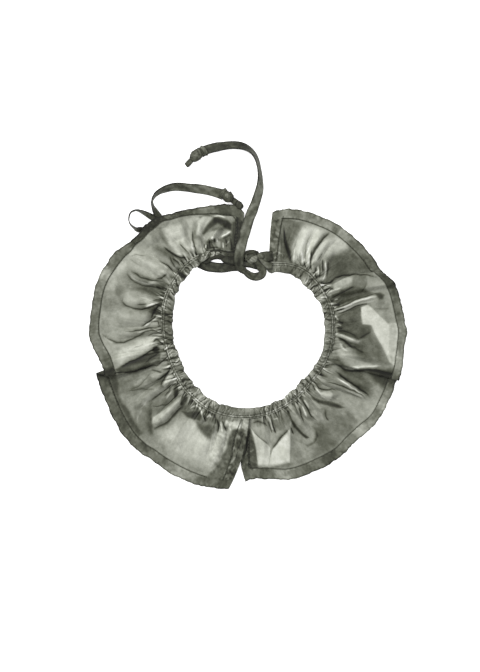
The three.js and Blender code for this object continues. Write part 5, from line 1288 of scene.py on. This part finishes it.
def flat_tube(route, size, tones, each, less, seed):
    """A flat sewn tube along x, y, z and lean, its width tipped up by the lean, with a crease down its middle."""
    points, leans = route[:, :3], route[:, 3]
    middle = smooth_path(points, each)
    spot = np.linspace(0, len(points) - 1, len(middle))
    lean = np.radians(np.interp(spot, np.arange(len(points)), leans))
    narrow = np.interp(spot, np.arange(len(points)), less)
    tangent = np.gradient(middle, axis=0)
    tangent /= np.linalg.norm(tangent, axis=1, keepdims=True)
    across = tilted_across(tangent, lean)
    up = np.cross(tangent, across)
    run = run_of(np.linalg.norm(np.diff(middle, axis=0), axis=1))
    w = size["wide"] / 2 * (1 + .06 * unevenness(run / 6, seed)) * (1 - narrow)
    b = np.linspace(0, 2 * np.pi, ROUND_TAPE, endpoint=False)
    ca, sa = np.cos(b)[None], np.sin(b)[None]
    swell = np.sign(sa) * np.abs(sa) ** .55 * (1 - .45 * bell(ca, .24))
    far = run[:, None]
    ripple = .22 * lattice(far / 3.2 + ca * 1.2, ca * 1.6, seed + 1)
    high = size["thick"] / 2 * (swell + ripple * np.abs(sa))
    rings = middle[:, None] + across[:, None] * (w[:, None] * ca)[..., None] + up[:, None] * high[..., None]
    rings[..., 2] = np.maximum(rings[..., 2], LOWEST["tube"])
    # the dye lies in slanting clouds and is worn pale in places; the tone is darker along both edges, and painted
    # shade darkens the crease down the middle
    blotch = lattice(far / 6.5 + ca * .9, ca * .8, seed + 2)
    tone = (np.interp(run / run[-1], *zip(*tones))[:, None] + .1 * blotch
            + .09 * lattice(far / 2.0 - ca * .8, ca * 2.2, seed + 3))
    tone = (tone + .05 * np.maximum(lattice(far / .9, ca * 3, seed + 4), 0) - .05 * bell(ca, .16)
            - .2 * smooth((np.abs(ca) - .72) / .24))
    return (*tube(rings), tube_map(ca * w[:, None], far), tube_tone(tone)), middle, run[-1]


def tape(name, route, size, tones, each=6):
    rows = np.stack([route[key] for key in ("x", "y", "z", "lean")], 1)
    (points, faces, uv, tone), middle, long = flat_tube(rows, size, tones, each, route["less"], seed=51)
    return new_piece(name, points, faces, tie_cloth, uv, tone), middle, long


def lump(middle, size, turn, tone, seed):
    """A closed rounded lump of bunched cloth."""
    v = (np.linspace(.03, .97, 24) * np.pi)[:, None]
    b = np.linspace(0, 2 * np.pi, 26, endpoint=False)[None]
    uneven = 1 + .1 * lattice(v * 3 + 1.5 * np.cos(b), 1.5 * np.sin(b) + 5, seed) + .05 * np.cos(3 * b + 2 * v)
    fat = np.sin(v) ** .8
    facing = np.maximum(fat * np.sin(b), 0)
    px = -np.cos(v) * size[0] / 2
    py, pz = fat * np.cos(b) * size[1] / 2 * uneven, fat * np.sin(b) * size[2] / 2 * uneven
    c, s = math.cos(math.radians(turn)), math.sin(math.radians(turn))
    z = np.maximum(middle[2] + pz, LOWEST["tube"])
    rings = np.stack([middle[0] + c * px - s * py, middle[1] + s * px + c * py, z], 2)
    # painted shade on the sides that face down and painted light on the top, over uneven tone
    tone = (tone + .1 * lattice(v * 4 + 2 * np.cos(b), 2 * np.sin(b) + 9, seed + 1) - .16 * (1 - facing) ** 2
            + .08 * facing)
    return *tube(rings), tube_map(b * size[1] / 2, v * size[0] / 2), tube_tone(tone)


def knot(name):
    """A pulled knot: bunched lumps with flat bands of the tape wound over them."""
    parts = [lump(*row, seed=60 + i) for i, row in enumerate(KNOTS[name]["lumps"])]
    for i, (wide, thick, tone, *route) in enumerate(KNOTS[name]["bands"]):
        rows = np.concatenate([np.array(route, float), np.zeros((len(route), 1))], 1)
        tones = [(0, tone - .1), (.3, tone), (.6, tone + .06), (1, tone - .06)]
        parts.append(flat_tube(rows, {"wide": wide, "thick": thick}, tones, 9, [.15, 0, 0, .15], seed=80 + 7 * i)[0])
    points, faces, uv, tone = zip(*parts)
    shift = np.cumsum([0] + [len(p) for p in points])
    faces = [[q + first for q in face] for first, some in zip(shift, faces) for face in some]
    return new_piece(name, np.concatenate(points), faces, tie_cloth, np.concatenate(uv), np.concatenate(tone))


front_tie, front_path, front_long = tape("tie_front", FRONT_TIE, TAPE, FRONT_TONES)
back_tie, back_path, back_long = tape("tie_back", BACK_TIE, TAPE, BACK_TONES)
# The strands between the casing and the main knot lie in shadow, painted into their tone: the left one all along, the
# right one towards its far end.
exit_left, _, _ = tape("tie_strand_left", LEFT_EXIT, STRAND, [(0, .14), (.5, .17), (1, .13)], each=10)
exit_right, _, _ = tape("tie_strand_right", RIGHT_EXIT, STRAND, [(0, .4), (.5, .34), (.8, .2), (1, .14)], each=10)
knot_main, knot_front, knot_back = knot("tie_knot"), knot("tie_front_knot"), knot("tie_back_knot")


# ---- Stitching ----
def stitch_tree():
    """Lays stitches of one length along a curve: short rounded threads, each turned along the line."""
    tree = bpy.data.node_groups.new("stitches along a line", "GeometryNodeTree")
    face = tree.interface
    face.new_socket("Geometry", in_out="INPUT", socket_type="NodeSocketGeometry")
    for label, value in (("Stitch length", .0021), ("Step", .0027), ("Thread radius", .00026), ("Slant", .12)):
        face.new_socket(label, in_out="INPUT", socket_type="NodeSocketFloat").default_value = value
    face.new_socket("Seed", in_out="INPUT", socket_type="NodeSocketInt").default_value = 4
    face.new_socket("Thread", in_out="INPUT", socket_type="NodeSocketMaterial")
    face.new_socket("Geometry", in_out="OUTPUT", socket_type="NodeSocketGeometry")
    come, go, even, rod, put, way, turn, twist, back, uneven, angle, real, dress = [tree.nodes.new(kind) for kind in (
        "NodeGroupInput", "NodeGroupOutput", "GeometryNodeResampleCurve", "GeometryNodeMeshCylinder",
        "GeometryNodeInstanceOnPoints", "GeometryNodeInputTangent", "FunctionNodeAlignRotationToVector",
        "FunctionNodeRotateRotation", "ShaderNodeMath", "FunctionNodeRandomValue", "FunctionNodeAxisAngleToRotation",
        "GeometryNodeRealizeInstances", "GeometryNodeSetMaterial")]
    even.mode = "LENGTH"
    rod.inputs["Vertices"].default_value = 6
    turn.axis = "Z"
    twist.rotation_space = "LOCAL"
    angle.inputs["Axis"].default_value = (1, 0, 0)
    back.operation = "MULTIPLY"
    back.inputs[1].default_value = -1
    uneven.data_type = "FLOAT"
    least, most = [s for s in uneven.inputs if s.type == "VALUE" and s.enabled]
    some = [s for s in uneven.outputs if s.type == "VALUE" and s.enabled][0]
    for source, socket in (
            (come.outputs["Slant"], back.inputs[0]), (back.outputs[0], least), (come.outputs["Slant"], most),
            (some, angle.inputs["Angle"])):
        tree.links.new(source, socket)
    for source, label, made, socket in (
            (come, "Geometry", even, "Curve"), (come, "Step", even, "Length"), (come, "Thread radius", rod, "Radius"),
            (come, "Stitch length", rod, "Depth"), (way, "Tangent", turn, "Vector"), (come, "Seed", uneven, "Seed"),
            (turn, "Rotation", twist, "Rotation"), (angle, "Rotation", twist, "Rotate By"),
            (even, "Curve", put, "Points"), (rod, "Mesh", put, "Instance"), (twist, "Rotation", put, "Rotation"),
            (put, "Instances", real, "Geometry"), (real, "Geometry", dress, "Geometry"),
            (come, "Thread", dress, "Material"), (dress, "Geometry", go, "Geometry")):
        tree.links.new(source.outputs[label], made.inputs[socket])
    return tree


STITCHES = stitch_tree()


def stitched(name, lines, **sizes):
    """Stitches along each line of points in millimetres, as one plain mesh."""
    data = bpy.data.curves.new(name + "_lines", "CURVE")
    data.dimensions = "3D"
    for line in lines:
        spline = data.splines.new("POLY")
        spline.points.add(len(line) - 1)
        for point, (px, py, pz) in zip(spline.points, line):
            point.co = (px * MM, py * MM, pz * MM, 1)
    holder = add_object(name + "_lines", data)
    modifier = holder.modifiers.new("stitches", "NODES")
    modifier.node_group = STITCHES
    sockets = {item.name: item.identifier for item in STITCHES.interface.items_tree
               if item.item_type == "SOCKET" and item.in_out == "INPUT"}
    modifier[sockets["Thread"]] = thread
    for label, value in sizes.items():
        modifier[sockets[label.replace("_", " ")]] = value
    bpy.context.view_layer.update()
    mesh = bpy.data.meshes.new_from_object(holder.evaluated_get(bpy.context.evaluated_depsgraph_get()))
    mesh.name = name
    bpy.data.objects.remove(holder)
    bpy.data.curves.remove(data)
    mesh.uv_layers.new(name="cloth")
    mesh.shade_smooth()
    return add_object(name, mesh)


def on_top(piece, lines, proud=.16, step=.9, above=.05):
    """Lines given by angle and distance, laid on the highest cloth of a piece, seen from some metres above."""
    mesh = piece.data
    tree = BVHTree.FromPolygons([v.co[:] for v in mesh.vertices], [p.vertices[:] for p in mesh.polygons])
    laid = []
    for line in lines:
        c = corners_of(line)
        run = run_of(np.hypot(*np.diff(c, axis=0).T))
        steps = np.arange(0, run[-1], step)
        row = []
        for px, py in zip(np.interp(steps, run, c[:, 0]), np.interp(steps, run, c[:, 1])):
            hit = tree.ray_cast(Vector((px * MM, py * MM, above)), Vector((0, 0, -1)))[0]
            if hit:
                row.append((px, py, hit.z / MM + proud))
        if len(row) > 3:
            laid.append(row)
    return laid


def hem_lines(piece, row, thick, ends, proud=.12, past=.3):
    """The stitching of a ruffle: along its outer hem between the lines of its two ends, then along those."""
    p = row.copy()
    p[:, 2] += thick / 2 + proud
    for line, hem_side in ends:
        d, side, _ = to_line(p[:, 0], p[:, 1], corners_of(line))
        p = p[side * hem_side * d < past]
    return [p] + on_top(piece, [line for line, _ in ends])


hem_left = stitched("hem_stitching_left", hem_lines(left, left_row, left_thick, LEFT_ENDS), Seed=4)
hem_right = stitched("hem_stitching_right", hem_lines(right, right_row, right_thick, RIGHT_ENDS), Seed=9)
ring_at = np.arange(103, 436, .8)
seam = along(RING, "at", "seam", ring_at)
casing_rows = on_top(casing_piece, [list(zip(ring_at, seam - within)) for within in CASING["rows"]], proud=.1)
casing_stitches = stitched("casing_stitching", casing_rows, Stitch_length=.0017, Step=.0024, Thread_radius=.00022,
                           Seed=2)

# ---- Floor, lamps and world ----
FLOOR = {"half": 3, "below": .0004, "white": .9, "rough": .9, "glow": .75}
floor_mesh = bpy.data.meshes.new("floor")
floor_mesh.from_pydata([(x * FLOOR["half"], y * FLOOR["half"], -FLOOR["below"])
                        for x, y in ((-1, -1), (1, -1), (1, 1), (-1, 1))], [], [(0, 1, 2, 3)])
floor = add_object("floor", floor_mesh)
paper = bpy.data.materials.new("white paper")
paper.use_nodes = True
sheet = paper.node_tree.nodes["Principled BSDF"]
sheet.inputs["Base Color"].default_value = (*[FLOOR["white"]] * 3, 1)
sheet.inputs["Roughness"].default_value = FLOOR["rough"]
sheet.inputs["Emission Color"].default_value = (1, 1, 1, 1)
sheet.inputs["Emission Strength"].default_value = FLOOR["glow"]
floor_mesh.materials.append(paper)


def lamp(name, place_at, size, power):
    """A round lamp that points at the middle of the collar."""
    data = bpy.data.lights.new(name, "AREA")
    data.shape = "DISK"
    data.size = size
    data.energy = power
    obj = add_object(name, data)
    obj.location = place_at
    obj.rotation_euler = (Vector(place_at) * -1).to_track_quat("-Z", "Y").to_euler()


lamp("key lamp", (-1.3, 1.1, 1.5), .8, 42)
lamp("fill lamp", (1.5, -.7, 1.6), 1.4, 14)
world = bpy.data.worlds.new("studio")
world.use_nodes = True
world.node_tree.nodes["Background"].inputs["Color"].default_value = (1, 1, 1, 1)
world.node_tree.nodes["Background"].inputs["Strength"].default_value = .55
bpy.context.scene.world = world
bpy.context.scene.view_settings.view_transform = "Standard"

# ---- Each piece hangs under the root body, and the parts it stands for are hidden ----
PIECES = [
    (left, "cloth", ["ruffle_left"]), (right, "cloth", ["ruffle_right"]), (casing_piece, "cloth", ["neck_casing"]),
    (hem_left, "cloth", []), (hem_right, "cloth", []), (casing_stitches, "cloth", []),
    (front_tie, "drawstring", ["front_tail"]), (back_tie, "drawstring", ["back_tail"]),
    (knot_main, "drawstring", ["drawstring_knot"]), (exit_left, "drawstring", ["drawstring_exit_left"]),
    (exit_right, "drawstring", ["drawstring_exit_right"]), (knot_front, "drawstring", ["front_tail_knot"]),
    (knot_back, "drawstring", ["back_tail_knot"]),
]
for piece, finish, nodes in PIECES:
    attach(piece, "root")
    if nodes:
        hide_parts(*nodes)
